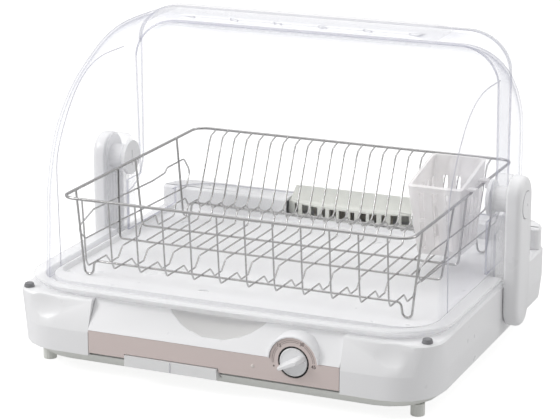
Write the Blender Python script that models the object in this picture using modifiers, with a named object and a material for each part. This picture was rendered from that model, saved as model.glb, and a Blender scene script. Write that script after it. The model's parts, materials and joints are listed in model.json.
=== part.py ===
"""Electric dish dryer: a white case with a drain pan, a clear cover that swings back over a fixed
rear cover, a welded wire rack with a cutlery basket, a timer, a drip tray and a hot air fan.

X runs along the front, +Y to the rear and +Z up. The origin is on the ground under the middle."""

from math import atan2, cos, pi, radians, sin, sqrt

import bmesh
import bpy
from mathutils import Matrix, Vector

# Overall sizes, in metres
case_width = 0.457
case_depth = 0.3875
knob_reach = 0.0115
tower_reach = 0.0165

# Clearances and the overrun of every cut
seat_gap = 0.0003
running_gap = 0.0005
slide_gap = 0.0012
overrun = 0.02
merge_distance = 0.00002

# Heights that stack from the ground to the roof
foot_height = 0.0122
lower_case_height = 0.0116
upper_case_height = 0.0555
plateau_rise = 0.0060
pan_sink = 0.0048
rear_housing_height = 0.0240
cover_height = 0.2520
hood_height = 0.0109

# Case walls
case_wall = 0.003
case_corner = 0.050
shoulder_corner = 0.030
shoulder_setback = 0.0095
waist_height = 0.024
edge_round = 0.002
plateau_side_inset = 0.0190
plateau_corner = 0.036
plateau_front_inset = 0.040
pan_side_inset = 0.0215
pan_front_inset = 0.064
pan_rear_inset = 0.042
pan_corner = 0.020
pan_drain_radius = 0.006
lower_case_inset = 0.004
lower_case_draft = 0.010
scoop_width = 0.104
scoop_depth = 0.044
scoop_height = 0.068
scoop_spacing = 0.385
foot_radius = 0.0070
foot_side_inset = 0.0265
foot_front_inset = 0.0385
foot_rear_inset = 0.045
bumper_radius = 0.0055
bumper_side_inset = 0.0130
bumper_front_inset = 0.0145

# Front panel, strip and dial
panel_width = 0.2715
panel_thickness = 0.0280
panel_lean = 0.0170
panel_drop = 0.0030
panel_core_wall = 0.0030
strip_height = 0.0235
strip_thickness = 0.0015
finger_recess_width = 0.107
finger_recess_height = 0.024
finger_recess_depth = 0.011
dial_offset = 0.088
dial_radius = 0.0253
dial_height = 0.0220
collar_wall = 0.0034
dial_seat_radius = 0.0163
knob_radius = 0.0145
knob_plate = 0.0024
knob_grip_width = 0.0066
knob_grip_length = 0.0290
knob_pointer_angle = 205.5
knob_grip_shares = (1.0, 0.8, 0.45)
shaft_radius = 0.0030
timer_width = 0.042
timer_depth = 0.026
timer_drop = 0.0180
timer_rise = 0.0032

# Drip tray
tray_width = 0.1012
tray_offset = -0.0437
tray_depth = 0.086
tray_height = 0.0113
tray_wall = 0.0018
runner_height = 0.0034
runner_width = 0.004

# Covers
cover_half_width = 0.2135
cover_wall = 0.0025
cover_front = 0.0175
cover_bow = 0.0060
cover_edge_across = 0.047
cover_edge_in = 0.042
nest_gap = 0.0030
rear_cover_lead = 0.0205
rear_cover_inset = 0.0075
rear_cover_shoulder = 0.1130
rear_roof_drop = 0.0120
rear_tail_reach = 0.0120
rim_height = 0.0098
rim_reach = 0.0075
rim_flare = 0.0080
rim_sink = 0.0060
rim_end_gap = 0.0040
hood_width = 0.316
hood_taper = 0.0105
hood_depth = 0.074
hood_rear_inset = 0.024
hood_front_slant = 0.002
hood_rear_slant = 0.017
hood_wall = 0.002
hood_slot_width = 0.006
hood_slot_height = 0.0022
roof_vent_width = 0.040
roof_vent_depth = 0.010

# Pivots and towers
hub_depth = 0.239
hub_height = 0.1655
hub_pin_radius = 0.0130
hub_cap_radius = 0.0190
hub_cap_thickness = 0.0035
arm_half_width = 0.0200
arm_rib_width = 0.0026
arm_rib_pitch = 0.0066
hub_ear_radius = 0.039
hub_slot_width = 0.002
hub_slot_length = 0.017
hub_slot_depth = 0.0012
arm_plate = 0.003
tower_width = 0.044
tower_base = 0.032
tower_crown_rise = 0.0265
tower_edge = 0.006
tower_cap_width = 0.029
tower_cap_thickness = 0.0025
tower_cap_drop = 0.0035

# Wire rack
rack_half_width = 0.189
rack_front = 0.048
rack_rear_inset = 0.0175
rack_height = 0.0889
rim_wire = 0.0022
rib_wire = 0.0014
frame_wire = 0.0018
rib_pitch = 0.030
rack_corner = 0.015
weld_sink = 0.0008
rack_lean = 0.009
frame_foot = 0.009
frame_bend = 0.004
handle_bend = 0.0035

# Cutlery basket
basket_width = 0.060
basket_length = 0.080
basket_height = 0.0750
basket_rear_rise = 0.016
basket_wall = 0.0020
basket_draft = 0.007
basket_rear_inset = 0.0820
basket_slot_width = 0.0055
basket_slot_pitch_across = 0.0143
basket_slot_pitch_along = 0.01375
basket_hook_width = 0.010
basket_hook_drop = 0.006
basket_hook_root = 0.0028

# Air outlet, fan and heater
outlet_width = 0.152
outlet_offset = 0.006
outlet_bow = 0.013
outlet_rear_inset = 0.0410
outlet_face_height = 0.0165
outlet_rise = 0.0125
outlet_wall = 0.002
outlet_slot_height = 0.0105
outlet_slot_share = 0.72
outlet_narrow_share = 0.6
outlet_grille_share = 0.94
outlet_bow_shares = (-1, -0.8, -0.6, -0.3, 0, 0.3, 0.6, 0.8, 1)
fan_rear_inset = 0.0955
fan_radius = 0.040
fan_height = 0.022
fan_hub_radius = 0.010
blade_root_share = 0.72
blade_thickness = 0.0016
motor_radius = 0.022
motor_height = 0.018
fan_housing_gap = 0.006
duct_width = 0.100
duct_height = 0.020
heater_thickness = 0.0012
heater_wire = 0.0010
intake_pitch = 0.011
intake_slot_width = 0.005

# Counts and facet counts
corner_steps = 5
front_steps = 4
curve_steps = 3
edge_steps = 3
round_sides = 24
small_sides = 16
fan_blades = 10
outlet_slots = 12
basket_front_slots = 3
basket_side_slots = 4
hood_slots = 24
roof_vents = 5
arm_ribs = 5
intake_slots = 7
rib_pairs = 6

# Angles
flat_angle = radians(0.05)
sharp_angle = radians(35)

# Places worked out from the sizes
strip_y = knob_reach - (case_depth + knob_reach) / 2
lower_z = foot_height + seat_gap
split_z = lower_z + lower_case_height
ledge_z = split_z + upper_case_height
plateau_z = ledge_z + plateau_rise
floor_z = plateau_z - pan_sink
housing_z = ledge_z + rear_housing_height
roof_z = ledge_z + cover_height
hood_z = roof_z + hood_height
strip_low_z = split_z + panel_drop + seat_gap
strip_top_z = strip_low_z + strip_height
dial_z = strip_low_z + dial_height
half_case = case_width / 2
tower_inner = half_case + seat_gap
tower_outer = half_case + tower_reach
rack_z = floor_z + seat_gap + rib_wire
rack_depth = case_depth - rack_front - rack_rear_inset
basket_start = rack_front + rack_depth - basket_rear_inset - basket_length
outlet_front = case_depth - outlet_rear_inset
fan_depth = case_depth - fan_rear_inset
cover_rear = hub_depth + hub_ear_radius
rear_cover_front = hub_depth + rear_cover_lead
rear_cover_back = case_depth - rear_cover_inset
rear_tail_front = hub_depth - rear_tail_reach
rim_end = hub_depth - tower_width / 2 - rim_end_gap
hood_rear = cover_rear - hood_rear_inset
hood_front = hood_rear - hood_depth
tower_top = hub_height + tower_crown_rise
hub = Vector((0, strip_y + hub_depth, hub_height))

for old in list(bpy.data.objects):
    bpy.data.objects.remove(old)

dryer = bpy.data.collections.new("electric_dish_dryer")
cutters = bpy.data.collections.new("cutters")
rack_wires = bpy.data.collections.new("rack_wires")
for collection in (dryer, cutters, rack_wires):
    bpy.context.scene.collection.children.link(collection)


def material(name, colour, roughness=0.4, metallic=0.0, alpha=1.0):
    """A Principled material."""
    made = bpy.data.materials.new(name)
    made.use_nodes = True
    shader = made.node_tree.nodes["Principled BSDF"]
    shader.inputs["Base Color"].default_value = (*colour, 1.0)
    shader.inputs["Roughness"].default_value = roughness
    shader.inputs["Metallic"].default_value = metallic
    shader.inputs["Alpha"].default_value = alpha
    return made


white_plastic = material("white_plastic", (0.86, 0.86, 0.88), 0.32)
pale_plastic = material("pale_plastic", (0.60, 0.61, 0.57), 0.42)
taupe_plastic = material("taupe_plastic", (0.52, 0.45, 0.43), 0.38)
dark_plastic = material("dark_plastic", (0.02, 0.02, 0.022), 0.5)
rubber = material("rubber", (0.05, 0.05, 0.055), 0.8)
clear_plastic = material("clear_plastic", (0.82, 0.83, 0.94), 0.06, 0.0, 0.3)
smoke_plastic = material("smoke_plastic", (0.55, 0.57, 0.60), 0.15, 0.0, 0.5)
outlet_plastic = material("outlet_plastic", (0.74, 0.75, 0.68), 0.45)
stainless = material("stainless", (0.62, 0.62, 0.64), 0.2, 1.0)
zinc_steel = material("zinc_steel", (0.6, 0.6, 0.6), 0.35, 1.0)
mica = material("mica", (0.55, 0.5, 0.4), 0.7)


def place(x, depth, height):
    """A point from the strip's plane: depth runs to the rear, height up from the ground."""
    return Vector((x, strip_y + depth, height))


def add_object(name, mesh, finish, collection=dryer):
    obj = bpy.data.objects.new(name, mesh)
    collection.objects.link(obj)
    if finish:
        obj.data.materials.append(finish)
    return obj


def object_from(name, shape, finish, collection=dryer):
    """Object made from a bmesh, shaded smooth with its edges kept."""
    mesh = bpy.data.meshes.new(name)
    shape.to_mesh(mesh)
    shape.free()
    mesh.shade_smooth()
    mesh.set_sharp_from_angle(angle=sharp_angle)
    return add_object(name, mesh, finish, collection)


def box(name, low, high, finish=None, collection=dryer):
    """A box between two opposite corners."""
    shape = bmesh.new()
    bmesh.ops.create_cube(shape, size=1)
    size = Vector(high) - Vector(low)
    bmesh.ops.transform(shape, matrix=Matrix.Diagonal(size.to_4d()), verts=shape.verts)
    obj = object_from(name, shape, finish, collection)
    obj.location = (Vector(high) + Vector(low)) / 2
    return obj


def rod(name, radius, start, end, finish=None, collection=dryer, sides=round_sides, end_radius=None):
    """A cylinder or cone from start to end."""
    shape = bmesh.new()
    axis = Vector(end) - Vector(start)
    bmesh.ops.create_cone(shape, cap_ends=True, segments=sides, radius1=radius, depth=axis.length,
                          radius2=radius if end_radius is None else end_radius)
    obj = object_from(name, shape, finish, collection)
    obj.location = (Vector(start) + Vector(end)) / 2
    obj.rotation_euler = axis.to_track_quat("Z", "Y").to_euler()
    return obj


def ball(name, centre, size, collection=cutters):
    """An ellipsoid of the given width, depth and height."""
    shape = bmesh.new()
    bmesh.ops.create_uvsphere(shape, u_segments=round_sides, v_segments=small_sides, radius=0.5)
    bmesh.ops.transform(shape, matrix=Matrix.Diagonal(Vector(size).to_4d()), verts=shape.verts)
    obj = object_from(name, shape, None, collection)
    obj.location = centre
    return obj


def move_origin(obj, point):
    """Puts the object's origin on a joint's axis without moving its shape."""
    bpy.context.view_layer.update()
    shift = obj.matrix_world.inverted() @ Vector(point)
    obj.data.transform(Matrix.Translation(-shift))
    obj.location = point


def boolean(target, cutter, operation="DIFFERENCE", solver="EXACT"):
    """Cuts, joins or trims the target with a hidden cutter."""
    for collection in list(cutter.users_collection):
        collection.objects.unlink(cutter)
    cutters.objects.link(cutter)
    cutter.hide_render = True
    cutter.display_type = "WIRE"
    modifier = target.modifiers.new(cutter.name, "BOOLEAN")
    modifier.operation = operation
    modifier.solver = solver
    modifier.object = cutter
    return target


def solidify(obj, thickness):
    """Gives an open surface its wall, on its inner side."""
    modifier = obj.modifiers.new("wall", "SOLIDIFY")
    modifier.thickness = thickness
    modifier.offset = -1
    modifier.use_even_offset = True
    return obj


def flat_outline(name, points, thickness, finish=None, collection=dryer, holes=()):
    """Extrudes a flat outline, and its holes, by its thickness along its own Z."""
    curve = bpy.data.curves.new(name, "CURVE")
    curve.dimensions = "2D"
    curve.fill_mode = "BOTH"
    curve.extrude = thickness / 2
    for loop in (points, *holes):
        spline = curve.splines.new("POLY")
        spline.points.add(len(loop) - 1)
        for spot, (u, v) in zip(spline.points, loop):
            spot.co = (u, v, 0, 1)
        spline.use_cyclic_u = True
    return add_object(name, curve, finish, collection)


def as_mesh(obj, collection=dryer):
    """Turns a curve object into a closed mesh in the same place."""
    bpy.context.view_layer.update()
    graph = bpy.context.evaluated_depsgraph_get()
    mesh = bpy.data.meshes.new_from_object(obj.evaluated_get(graph))
    shape = bmesh.new()
    shape.from_mesh(mesh)
    bmesh.ops.remove_doubles(shape, verts=shape.verts, dist=merge_distance)
    bmesh.ops.recalc_face_normals(shape, faces=shape.faces)
    name = obj.name
    finish = obj.data.materials[0] if obj.data.materials else None
    matrix = obj.matrix_world.copy()
    bpy.data.objects.remove(obj)
    made = object_from(name, shape, finish, collection)
    made.matrix_world = matrix
    return made


def side_profile(name, points, width, finish=None, collection=dryer, middle=0.0):
    """Extrudes points of depth and height along X."""
    obj = flat_outline(name, points, width, finish, collection)
    obj.matrix_world = Matrix.Translation((middle, 0, 0)) @ Matrix(((0, 0, 1, 0), (1, 0, 0, 0), (0, 1, 0, 0),
                                                                    (0, 0, 0, 1)))
    return as_mesh(obj, collection)


def front_profile(name, points, thickness, near, finish=None, collection=dryer):
    """Extrudes points of X and height from the depth near towards the rear."""
    obj = flat_outline(name, points, thickness, finish, collection)
    obj.matrix_world = Matrix.Translation((0, strip_y + near + thickness / 2, 0)) @ Matrix.Rotation(pi / 2,
                                                                                                    4, "X")
    return as_mesh(obj, collection)


def arc(centre, radius, start, end, steps):
    """Points on a circle between two angles in degrees, as flat pairs."""
    angles = [radians(start + (end - start) * step / steps) for step in range(steps + 1)]
    return [(centre[0] + radius * cos(angle), centre[1] + radius * sin(angle)) for angle in angles]


def rounded_outline(half_width, front, rear, corner, rear_corner, bow=0.0):
    """Plan outline with round corners and a bowed front, as X and depth."""
    points = arc((half_width - rear_corner, rear - rear_corner), rear_corner, 0, 90, corner_steps)
    points += arc((rear_corner - half_width, rear - rear_corner), rear_corner, 90, 180, corner_steps)
    points += arc((corner - half_width, front + corner), corner, 180, 270, corner_steps)
    straight = half_width - corner
    for step in range(1, front_steps):
        points.append((straight * (2 * step / front_steps - 1), front))
    points += arc((half_width - corner, front + corner), corner, 270, 360, corner_steps)
    middle = (front + rear) / 2
    return [(x, y + bow * (x / half_width) ** 2 if y < middle else y) for x, y in points]


def loft(name, rings, finish=None, caps=(True, True), closed_rings=True, collection=dryer):
    """Skins rings of equal point counts. An open loft's faces look out where rings run up."""
    shape = bmesh.new()
    rows = [[shape.verts.new(point) for point in ring] for ring in rings]
    count = len(rows[0])
    for low, high in zip(rows, rows[1:]):
        for index in range(count if closed_rings else count - 1):
            after = (index + 1) % count
            shape.faces.new((low[index], low[after], high[after], high[index]))
    if caps[0]:
        shape.faces.new(rows[0][::-1])
    if caps[1]:
        shape.faces.new(rows[-1])
    if all(caps):
        bmesh.ops.recalc_face_normals(shape, faces=shape.faces)
    bmesh.ops.connect_verts_nonplanar(shape, angle_limit=flat_angle, faces=shape.faces)
    return object_from(name, shape, finish, collection)


def level(outline, height):
    return [place(x, y, height) for x, y in outline]


def round_path(points, radius, steps, closed=False):
    """Replaces each inner corner of a path by an arc that touches both sides."""
    points = [Vector(point) for point in points]
    count = len(points)
    made = []
    for index, point in enumerate(points):
        if not closed and index in (0, count - 1):
            made.append(point)
            continue
        before = (points[index - 1] - point).normalized()
        after = (points[(index + 1) % count] - point).normalized()
        half = before.angle(after) / 2
        reach = radius / max(sin(half) / cos(half), 1e-6)
        middle = point + (before + after).normalized() * radius / sin(half)
        start = (point + before * reach - middle).normalized()
        end = (point + after * reach - middle).normalized()
        for step in range(steps + 1):
            made.append(middle + start.slerp(end, step / steps) * radius)
    return made


def wire(name, points, radius, finish=None, collection=dryer, closed=False):
    """A bent wire as a six sided tube."""
    curve = bpy.data.curves.new(name, "CURVE")
    curve.dimensions = "3D"
    curve.bevel_depth = radius
    curve.bevel_resolution = 1
    curve.use_fill_caps = True
    spline = curve.splines.new("POLY")
    spline.points.add(len(points) - 1)
    for spot, point in zip(spline.points, points):
        spot.co = (*point, 1)
    spline.use_cyclic_u = closed
    return as_mesh(add_object(name, curve, finish, collection), collection)


def case_rings(inset=0.0):
    """Outer surface of the upper case from its split line up to the ledge, or one just inside it."""
    half = half_case - inset
    rear = case_depth - inset
    corner = case_corner - inset
    shoulder_round = shoulder_corner - inset
    low = rounded_outline(half - edge_round, inset, rear - edge_round, corner, shoulder_round)
    waist = rounded_outline(half, inset, rear, corner, shoulder_round)
    shoulder = rounded_outline(half, shoulder_setback + inset, rear, shoulder_round, shoulder_round)
    top = rounded_outline(half - edge_round, shoulder_setback + edge_round + inset, rear - edge_round,
                          shoulder_round - edge_round, shoulder_round - edge_round)
    return [level(low, split_z + inset), level(waist, split_z + waist_height),
            level(shoulder, ledge_z - edge_round),
            level(top, ledge_z - inset)]


def upper_case():
    """Moulded case: skirt, ledge, plateau and sunken drain pan in one shell."""
    plateau_half = half_case - plateau_side_inset
    plateau_rear = case_depth - pan_rear_inset + edge_round
    plateau = (plateau_half, plateau_front_inset, plateau_rear, plateau_corner, pan_corner)
    pan_half = half_case - pan_side_inset
    pan = (pan_half, pan_front_inset, case_depth - pan_rear_inset, pan_corner, pan_corner - edge_round)
    sunk = (pan_half - edge_round, pan_front_inset + edge_round, case_depth - pan_rear_inset - edge_round,
            pan_corner, pan_corner)
    rings = case_rings()
    rings += [level(rounded_outline(*plateau), ledge_z), level(rounded_outline(*plateau), plateau_z)]
    rings += [level(rounded_outline(*pan), plateau_z), level(rounded_outline(*sunk), floor_z)]
    case = solidify(loft("upper_case", rings, white_plastic, caps=(False, True)), case_wall)
    envelope = loft("case_envelope", case_rings(edge_round / 2), collection=cutters)
    for side, label in ((-1, "left"), (1, "right")):
        centre = place(side * scoop_spacing / 2, -scoop_depth / 4, ledge_z + edge_round)
        wall = 2 * case_wall
        cup = ball(f"scoop_cup_{label}", centre,
                   (scoop_width + wall, scoop_depth + wall, scoop_height + wall))
        boolean(cup, envelope, "INTERSECT")
        boolean(case, cup, "UNION")
        boolean(case, ball(f"scoop_{label}", centre, (scoop_width, scoop_depth, scoop_height)))
    envelope.hide_render = True
    seat = panel_width / 2 + seat_gap
    boolean(case, box("panel_seat", place(-seat, -overrun, split_z - overrun),
                      place(seat, panel_thickness + seat_gap, ledge_z + overrun)))
    drain = rod("drain_hole", pan_drain_radius,
                place(tray_offset, pan_front_inset + 2 * pan_drain_radius, 0),
                place(tray_offset, pan_front_inset + 2 * pan_drain_radius, roof_z), sides=small_sides)
    boolean(case, drain)
    duct = duct_width / 2
    boolean(case, box("duct_hole", place(outlet_offset - duct, case_depth - pan_rear_inset + 2 * case_wall,
                                         ledge_z - overrun),
                      place(outlet_offset + duct, case_depth - 3 * case_wall, plateau_z + overrun)))
    return case


def lower_case():
    """Shallow pan that closes the case from below and holds the tray's runners."""
    half = half_case - lower_case_inset
    low = rounded_outline(half - lower_case_draft, lower_case_inset + lower_case_draft,
                          case_depth - lower_case_inset - lower_case_draft, case_corner, shoulder_corner)
    top = rounded_outline(half, lower_case_inset, case_depth - lower_case_inset, case_corner,
                          shoulder_corner)
    pan = loft("lower_case", [level(low, lower_z), level(top, split_z - seat_gap)], pale_plastic)
    inner = rounded_outline(half - lower_case_draft - case_wall,
                            lower_case_inset + lower_case_draft + case_wall,
                            case_depth - lower_case_inset - lower_case_draft - case_wall,
                            case_corner - case_wall,
                            shoulder_corner - case_wall)
    boolean(pan, loft("lower_hollow", [level(inner, lower_z + case_wall), level(inner, split_z + overrun)],
                      collection=cutters))
    floor_top = lower_z + case_wall
    for side, label in ((-1, "left"), (1, "right")):
        middle = tray_offset + side * (tray_width / 2 - runner_width)
        boolean(pan,
                box(f"runner_{label}",
                    place(middle - runner_width / 2, 2 * lower_case_draft, floor_top - seat_gap),
                         place(middle + runner_width / 2, tray_depth + lower_case_draft,
                               floor_top + runner_height)), "UNION")
    half_tray = tray_width / 2 + slide_gap
    boolean(pan, box("tray_mouth_low", place(tray_offset - half_tray, -overrun, floor_top + runner_height),
                     place(tray_offset + half_tray, 2 * lower_case_draft, split_z + overrun)))
    boss = rod("motor_boss", motor_radius + case_wall, place(outlet_offset, fan_depth, floor_top - seat_gap),
               place(outlet_offset, fan_depth, floor_top + case_wall))
    boolean(pan, boss, "UNION")
    for index in range(intake_slots):
        shift = (index - (intake_slots - 1) / 2) * intake_pitch
        reach = sqrt((fan_radius + motor_radius) ** 2 - shift ** 2)
        for side, label in ((-1, "front"), (1, "rear")):
            near = side * (motor_radius + 2 * case_wall)
            low = place(outlet_offset + shift - intake_slot_width / 2, fan_depth + min(near, side * reach),
                        0)
            high = place(outlet_offset + shift + intake_slot_width / 2, fan_depth + max(near, side * reach),
                         floor_top + overrun)
            boolean(pan, box(f"intake_{label}_{index}", low, high))
    return pan


def feet():
    """Four round feet."""
    side_x = half_case - foot_side_inset
    for row, depth in (("front", foot_front_inset), ("rear", case_depth - foot_rear_inset)):
        for label, x in (("left", -side_x), ("right", side_x)):
            rod(f"foot_{row}_{label}", foot_radius, place(x, depth, 0), place(x, depth, foot_height),
                pale_plastic,
                sides=small_sides)


def bumpers():
    """Rubber stops on the front corners of the ledge."""
    for label, side in (("left", -1), ("right", 1)):
        x = side * (half_case - bumper_side_inset)
        depth = shoulder_setback + bumper_front_inset
        rod(f"bumper_{label}", bumper_radius, place(x, depth, ledge_z + seat_gap),
            place(x, depth, ledge_z + plateau_rise - edge_round), rubber, sides=small_sides,
            end_radius=bumper_radius - edge_round / 2)


def strip_outline(gap, low_z):
    """Strip with the dial's round face rising out of its top edge."""
    half = panel_width / 2 - gap
    radius = dial_radius - gap
    top = strip_top_z - gap
    angle = 180 / pi * Vector((sqrt(radius ** 2 - (top - dial_z) ** 2),
                               top - dial_z)).angle_signed(Vector((1, 0)))
    points = [(-half, low_z), (half, low_z), (half, top)]
    return points + arc((dial_offset, dial_z), radius, angle, 180 - angle, round_sides // 2) + [(-half, top)]


def tray_mouth(name):
    """Cutter for the drip tray's mouth in the panel and the strip."""
    half = tray_width / 2 + slide_gap
    tray_top = lower_z + case_wall + runner_height + tray_height + slide_gap
    return box(name, place(tray_offset - half, -overrun, 0),
               place(tray_offset + half, overrun * 3, tray_top))


def front_panel():
    """Sloped front with a finger recess, a collar for the dial and a shallow seat for the strip."""
    top = ledge_z - seat_gap
    low = split_z + panel_drop
    front = strip_y
    profile = [(front, low), (front + panel_thickness, low), (front + panel_thickness, top),
               (front + panel_lean + edge_round, top), (front + panel_lean, top - edge_round),
               (front, strip_top_z)]
    panel = side_profile("front_panel", profile, panel_width, white_plastic)
    collar = rod("dial_collar", dial_radius + collar_wall, place(dial_offset, panel_thickness / 2, dial_z),
                 place(dial_offset, -strip_thickness, dial_z),
                 end_radius=dial_radius + collar_wall - edge_round)
    boolean(collar,
            box("collar_trim", place(-half_case, -overrun, strip_top_z), place(half_case, overrun, roof_z)),
            "INTERSECT")
    boolean(panel, collar, "UNION")
    slope = Vector((0, panel_lean, top - strip_top_z)).normalized()
    radius = (finger_recess_width ** 2 / 4 + finger_recess_height ** 2) / (2 * finger_recess_height)
    centre = place(0, panel_lean, top) + slope * (radius - finger_recess_height)
    recess = ball("finger_recess", centre, (2 * radius, 2 * finger_recess_depth, 2 * radius))
    recess.rotation_euler = (slope.angle(Vector((0, 0, 1))) * -1, 0, 0)
    boolean(panel, recess)
    boolean(panel, front_profile("strip_seat", strip_outline(-seat_gap / 3, low - overrun), overrun,
                                 strip_thickness + seat_gap - overrun, None, cutters))
    half = panel_width / 2
    core_low = low + panel_core_wall
    for label, start, end in (("left", -half + panel_core_wall, -finger_recess_width / 2 - panel_core_wall),
                              ("right", finger_recess_width / 2 + panel_core_wall, half - panel_core_wall)):
        core = [(front + 2 * panel_core_wall, core_low), (front + panel_thickness + overrun, core_low),
                (front + panel_thickness + overrun, top - panel_core_wall),
                (front + panel_lean + 2 * panel_core_wall, top - panel_core_wall),
                (front + 2 * panel_core_wall, strip_top_z)]
        boolean(panel,
                side_profile(f"panel_core_{label}", core, end - start, None, cutters, (start + end) / 2))
    boolean(panel, tray_mouth("panel_mouth"))
    boolean(panel, rod("seat_hole", dial_seat_radius + seat_gap, place(dial_offset, -overrun, dial_z),
                       place(dial_offset, panel_thickness + overrun, dial_z)))
    return panel


def trim_strip():
    """Taupe strip with the dial's face and the hole that the knob sits in."""
    strip = front_profile("trim_strip", strip_outline(seat_gap, split_z + panel_drop), strip_thickness, 0,
                          taupe_plastic)
    boolean(strip, rod("knob_hole", dial_seat_radius, place(dial_offset, -overrun, dial_z),
                       place(dial_offset, overrun, dial_z)))
    boolean(strip, tray_mouth("strip_mouth"))
    return strip


def timer():
    """Spring timer behind the panel: dark seat, timer box, and the knob on its shaft."""
    back = 2 * panel_core_wall + strip_thickness
    seat = rod("dial_seat", dial_seat_radius, place(dial_offset, strip_thickness, dial_z),
               place(dial_offset, back, dial_z), dark_plastic)
    boolean(seat, rod("shaft_hole", shaft_radius + running_gap, place(dial_offset, -overrun, dial_z),
                      place(dial_offset, overrun, dial_z), sides=small_sides))
    half = timer_width / 2
    box_front = back + seat_gap
    unit = box("timer_unit", place(dial_offset - half, box_front, dial_z - timer_drop),
               place(dial_offset + half, box_front + timer_depth, dial_z + timer_rise), dark_plastic)
    boolean(unit, rod("shaft_socket", shaft_radius + running_gap, place(dial_offset, 0, dial_z),
                      place(dial_offset, box_front + timer_depth / 2, dial_z), sides=small_sides))
    knob_back = -slide_gap
    knob = rod("timer_knob", knob_radius, place(dial_offset, knob_back, dial_z),
               place(dial_offset, knob_back - knob_plate, dial_z), white_plastic,
               end_radius=knob_radius - edge_round / 2)
    stem = rod("knob_stem", shaft_radius, place(dial_offset, knob_back - knob_plate / 2, dial_z),
               place(dial_offset, box_front + timer_depth / 3, dial_z), sides=small_sides)
    boolean(knob, stem, "UNION")
    boolean(knob, knob_grip(), "UNION")
    return knob


def knob_grip():
    """Grip bar across the knob, rounded at its pointer end and narrower at its crest."""
    half = knob_grip_width / 2
    tail = knob_radius - edge_round
    tip = knob_grip_length - tail - half
    rings = []
    reaches = (-slide_gap - knob_plate / 2, -knob_reach + edge_round, -knob_reach)
    for reach, share in zip(reaches, knob_grip_shares):
        outline = arc((tip, 0), half * share, -90, 90, corner_steps) + [(-tail, half * share),
                                                                        (-tail, -half * share)]
        rings.append([Vector((u, v, -reach)) for u, v in outline])
    grip = loft("knob_grip", rings, collection=cutters)
    turn = Matrix.Rotation(radians(-knob_pointer_angle), 4, "Y") @ Matrix.Rotation(pi / 2, 4, "X")
    grip.matrix_world = Matrix.Translation(place(dial_offset, 0, dial_z)) @ turn
    return grip


def drip_tray():
    """Clear drawer in two compartments on the lower case's runners."""
    low = lower_z + case_wall + runner_height + seat_gap
    high = low + tray_height
    half = tray_width / 2
    tray = box("drip_tray", place(tray_offset - half, -edge_round, low),
               place(tray_offset + half, tray_depth, high),
               smoke_plastic)
    for label, side in (("left", -1), ("right", 1)):
        near, far = sorted((side * tray_wall / 2, side * (half - tray_wall)))
        boolean(tray, box(f"tray_bay_{label}", place(tray_offset + near, tray_wall, low + tray_wall),
                          place(tray_offset + far, tray_depth - tray_wall, high + overrun)))
    return tray


cover_depth_shares = (0.0, 0.024, 0.044, 0.128, 0.269, 0.4545, 0.663, 1.0)
cover_height_shares = (0.0, 0.222, 0.420, 0.649, 0.814, 0.928, 0.998, 1.0)


def slope_path():
    """Middle line of the front cover: one smooth curve from its foot over the roof to its rear edge."""
    foot_z = ledge_z - edge_round
    spots = [place(0, cover_front + (cover_rear - cover_front) * depth_share,
                   foot_z + (roof_z - foot_z) * share)
             for depth_share, share in zip(cover_depth_shares, cover_height_shares)]
    ends = [spots[0] * 2 - spots[1]] + spots + [spots[-1] * 2 - spots[-2]]
    path = []
    for before, start, end, after in zip(ends, ends[1:], ends[2:], ends[3:]):
        for step in range(curve_steps):
            path.append(smooth_between(before, start, end, after, step / curve_steps))
    return path + [spots[-1]]


def smooth_between(before, start, end, after, along):
    """A point between start and end on the smooth curve through all four."""
    tangent_in, tangent_out = (end - before) / 2, (after - start) / 2
    square, cube = along ** 2, along ** 3
    return (start * (2 * cube - 3 * square + 1) + tangent_in * (cube - 2 * square + along)
            + end * (3 * square - 2 * cube) + tangent_out * (cube - square))


def rear_path():
    """Middle line of the rear cover: roof, quarter ellipse and rear wall, down to the rear housing."""
    low_z = housing_z + seat_gap
    top_z = roof_z - rear_roof_drop
    shoulder_z = top_z - rear_cover_shoulder
    across = rear_cover_back - hub_depth
    first = (rear_cover_front - hub_depth) / across
    steps = 2 * corner_steps
    start = Vector((first, sqrt(1 - first ** 2))).angle(Vector((1, 0)))
    points = []
    for step in range(steps + 1):
        angle = start * (1 - step / steps)
        points.append(place(0, hub_depth + across * cos(angle),
                            shoulder_z + rear_cover_shoulder * sin(angle)))
    points.append(place(0, rear_cover_back, (shoulder_z + low_z) / 2))
    points.append(place(0, rear_cover_back, low_z))
    return points


def cover_section(point, inward, half, bow, grow=0.0):
    """One line across a cover, from side to side: flat in the middle, elliptic at its two edges."""
    across = cover_edge_across + grow
    offsets = []
    for step in range(corner_steps + 1):
        angle = pi / 2 * step / corner_steps
        offsets.append((-half + across * (1 - cos(angle)), (cover_edge_in + grow) * (1 - sin(angle))))
    for step in range(1, front_steps):
        offsets.append(((half - across) * (2 * step / front_steps - 1), 0))
    offsets += [(-x, drop) for x, drop in offsets[corner_steps::-1]]
    return [point + Vector((x, 0, 0)) + inward * (drop + bow * (x / half) ** 2) for x, drop in offsets]


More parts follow.
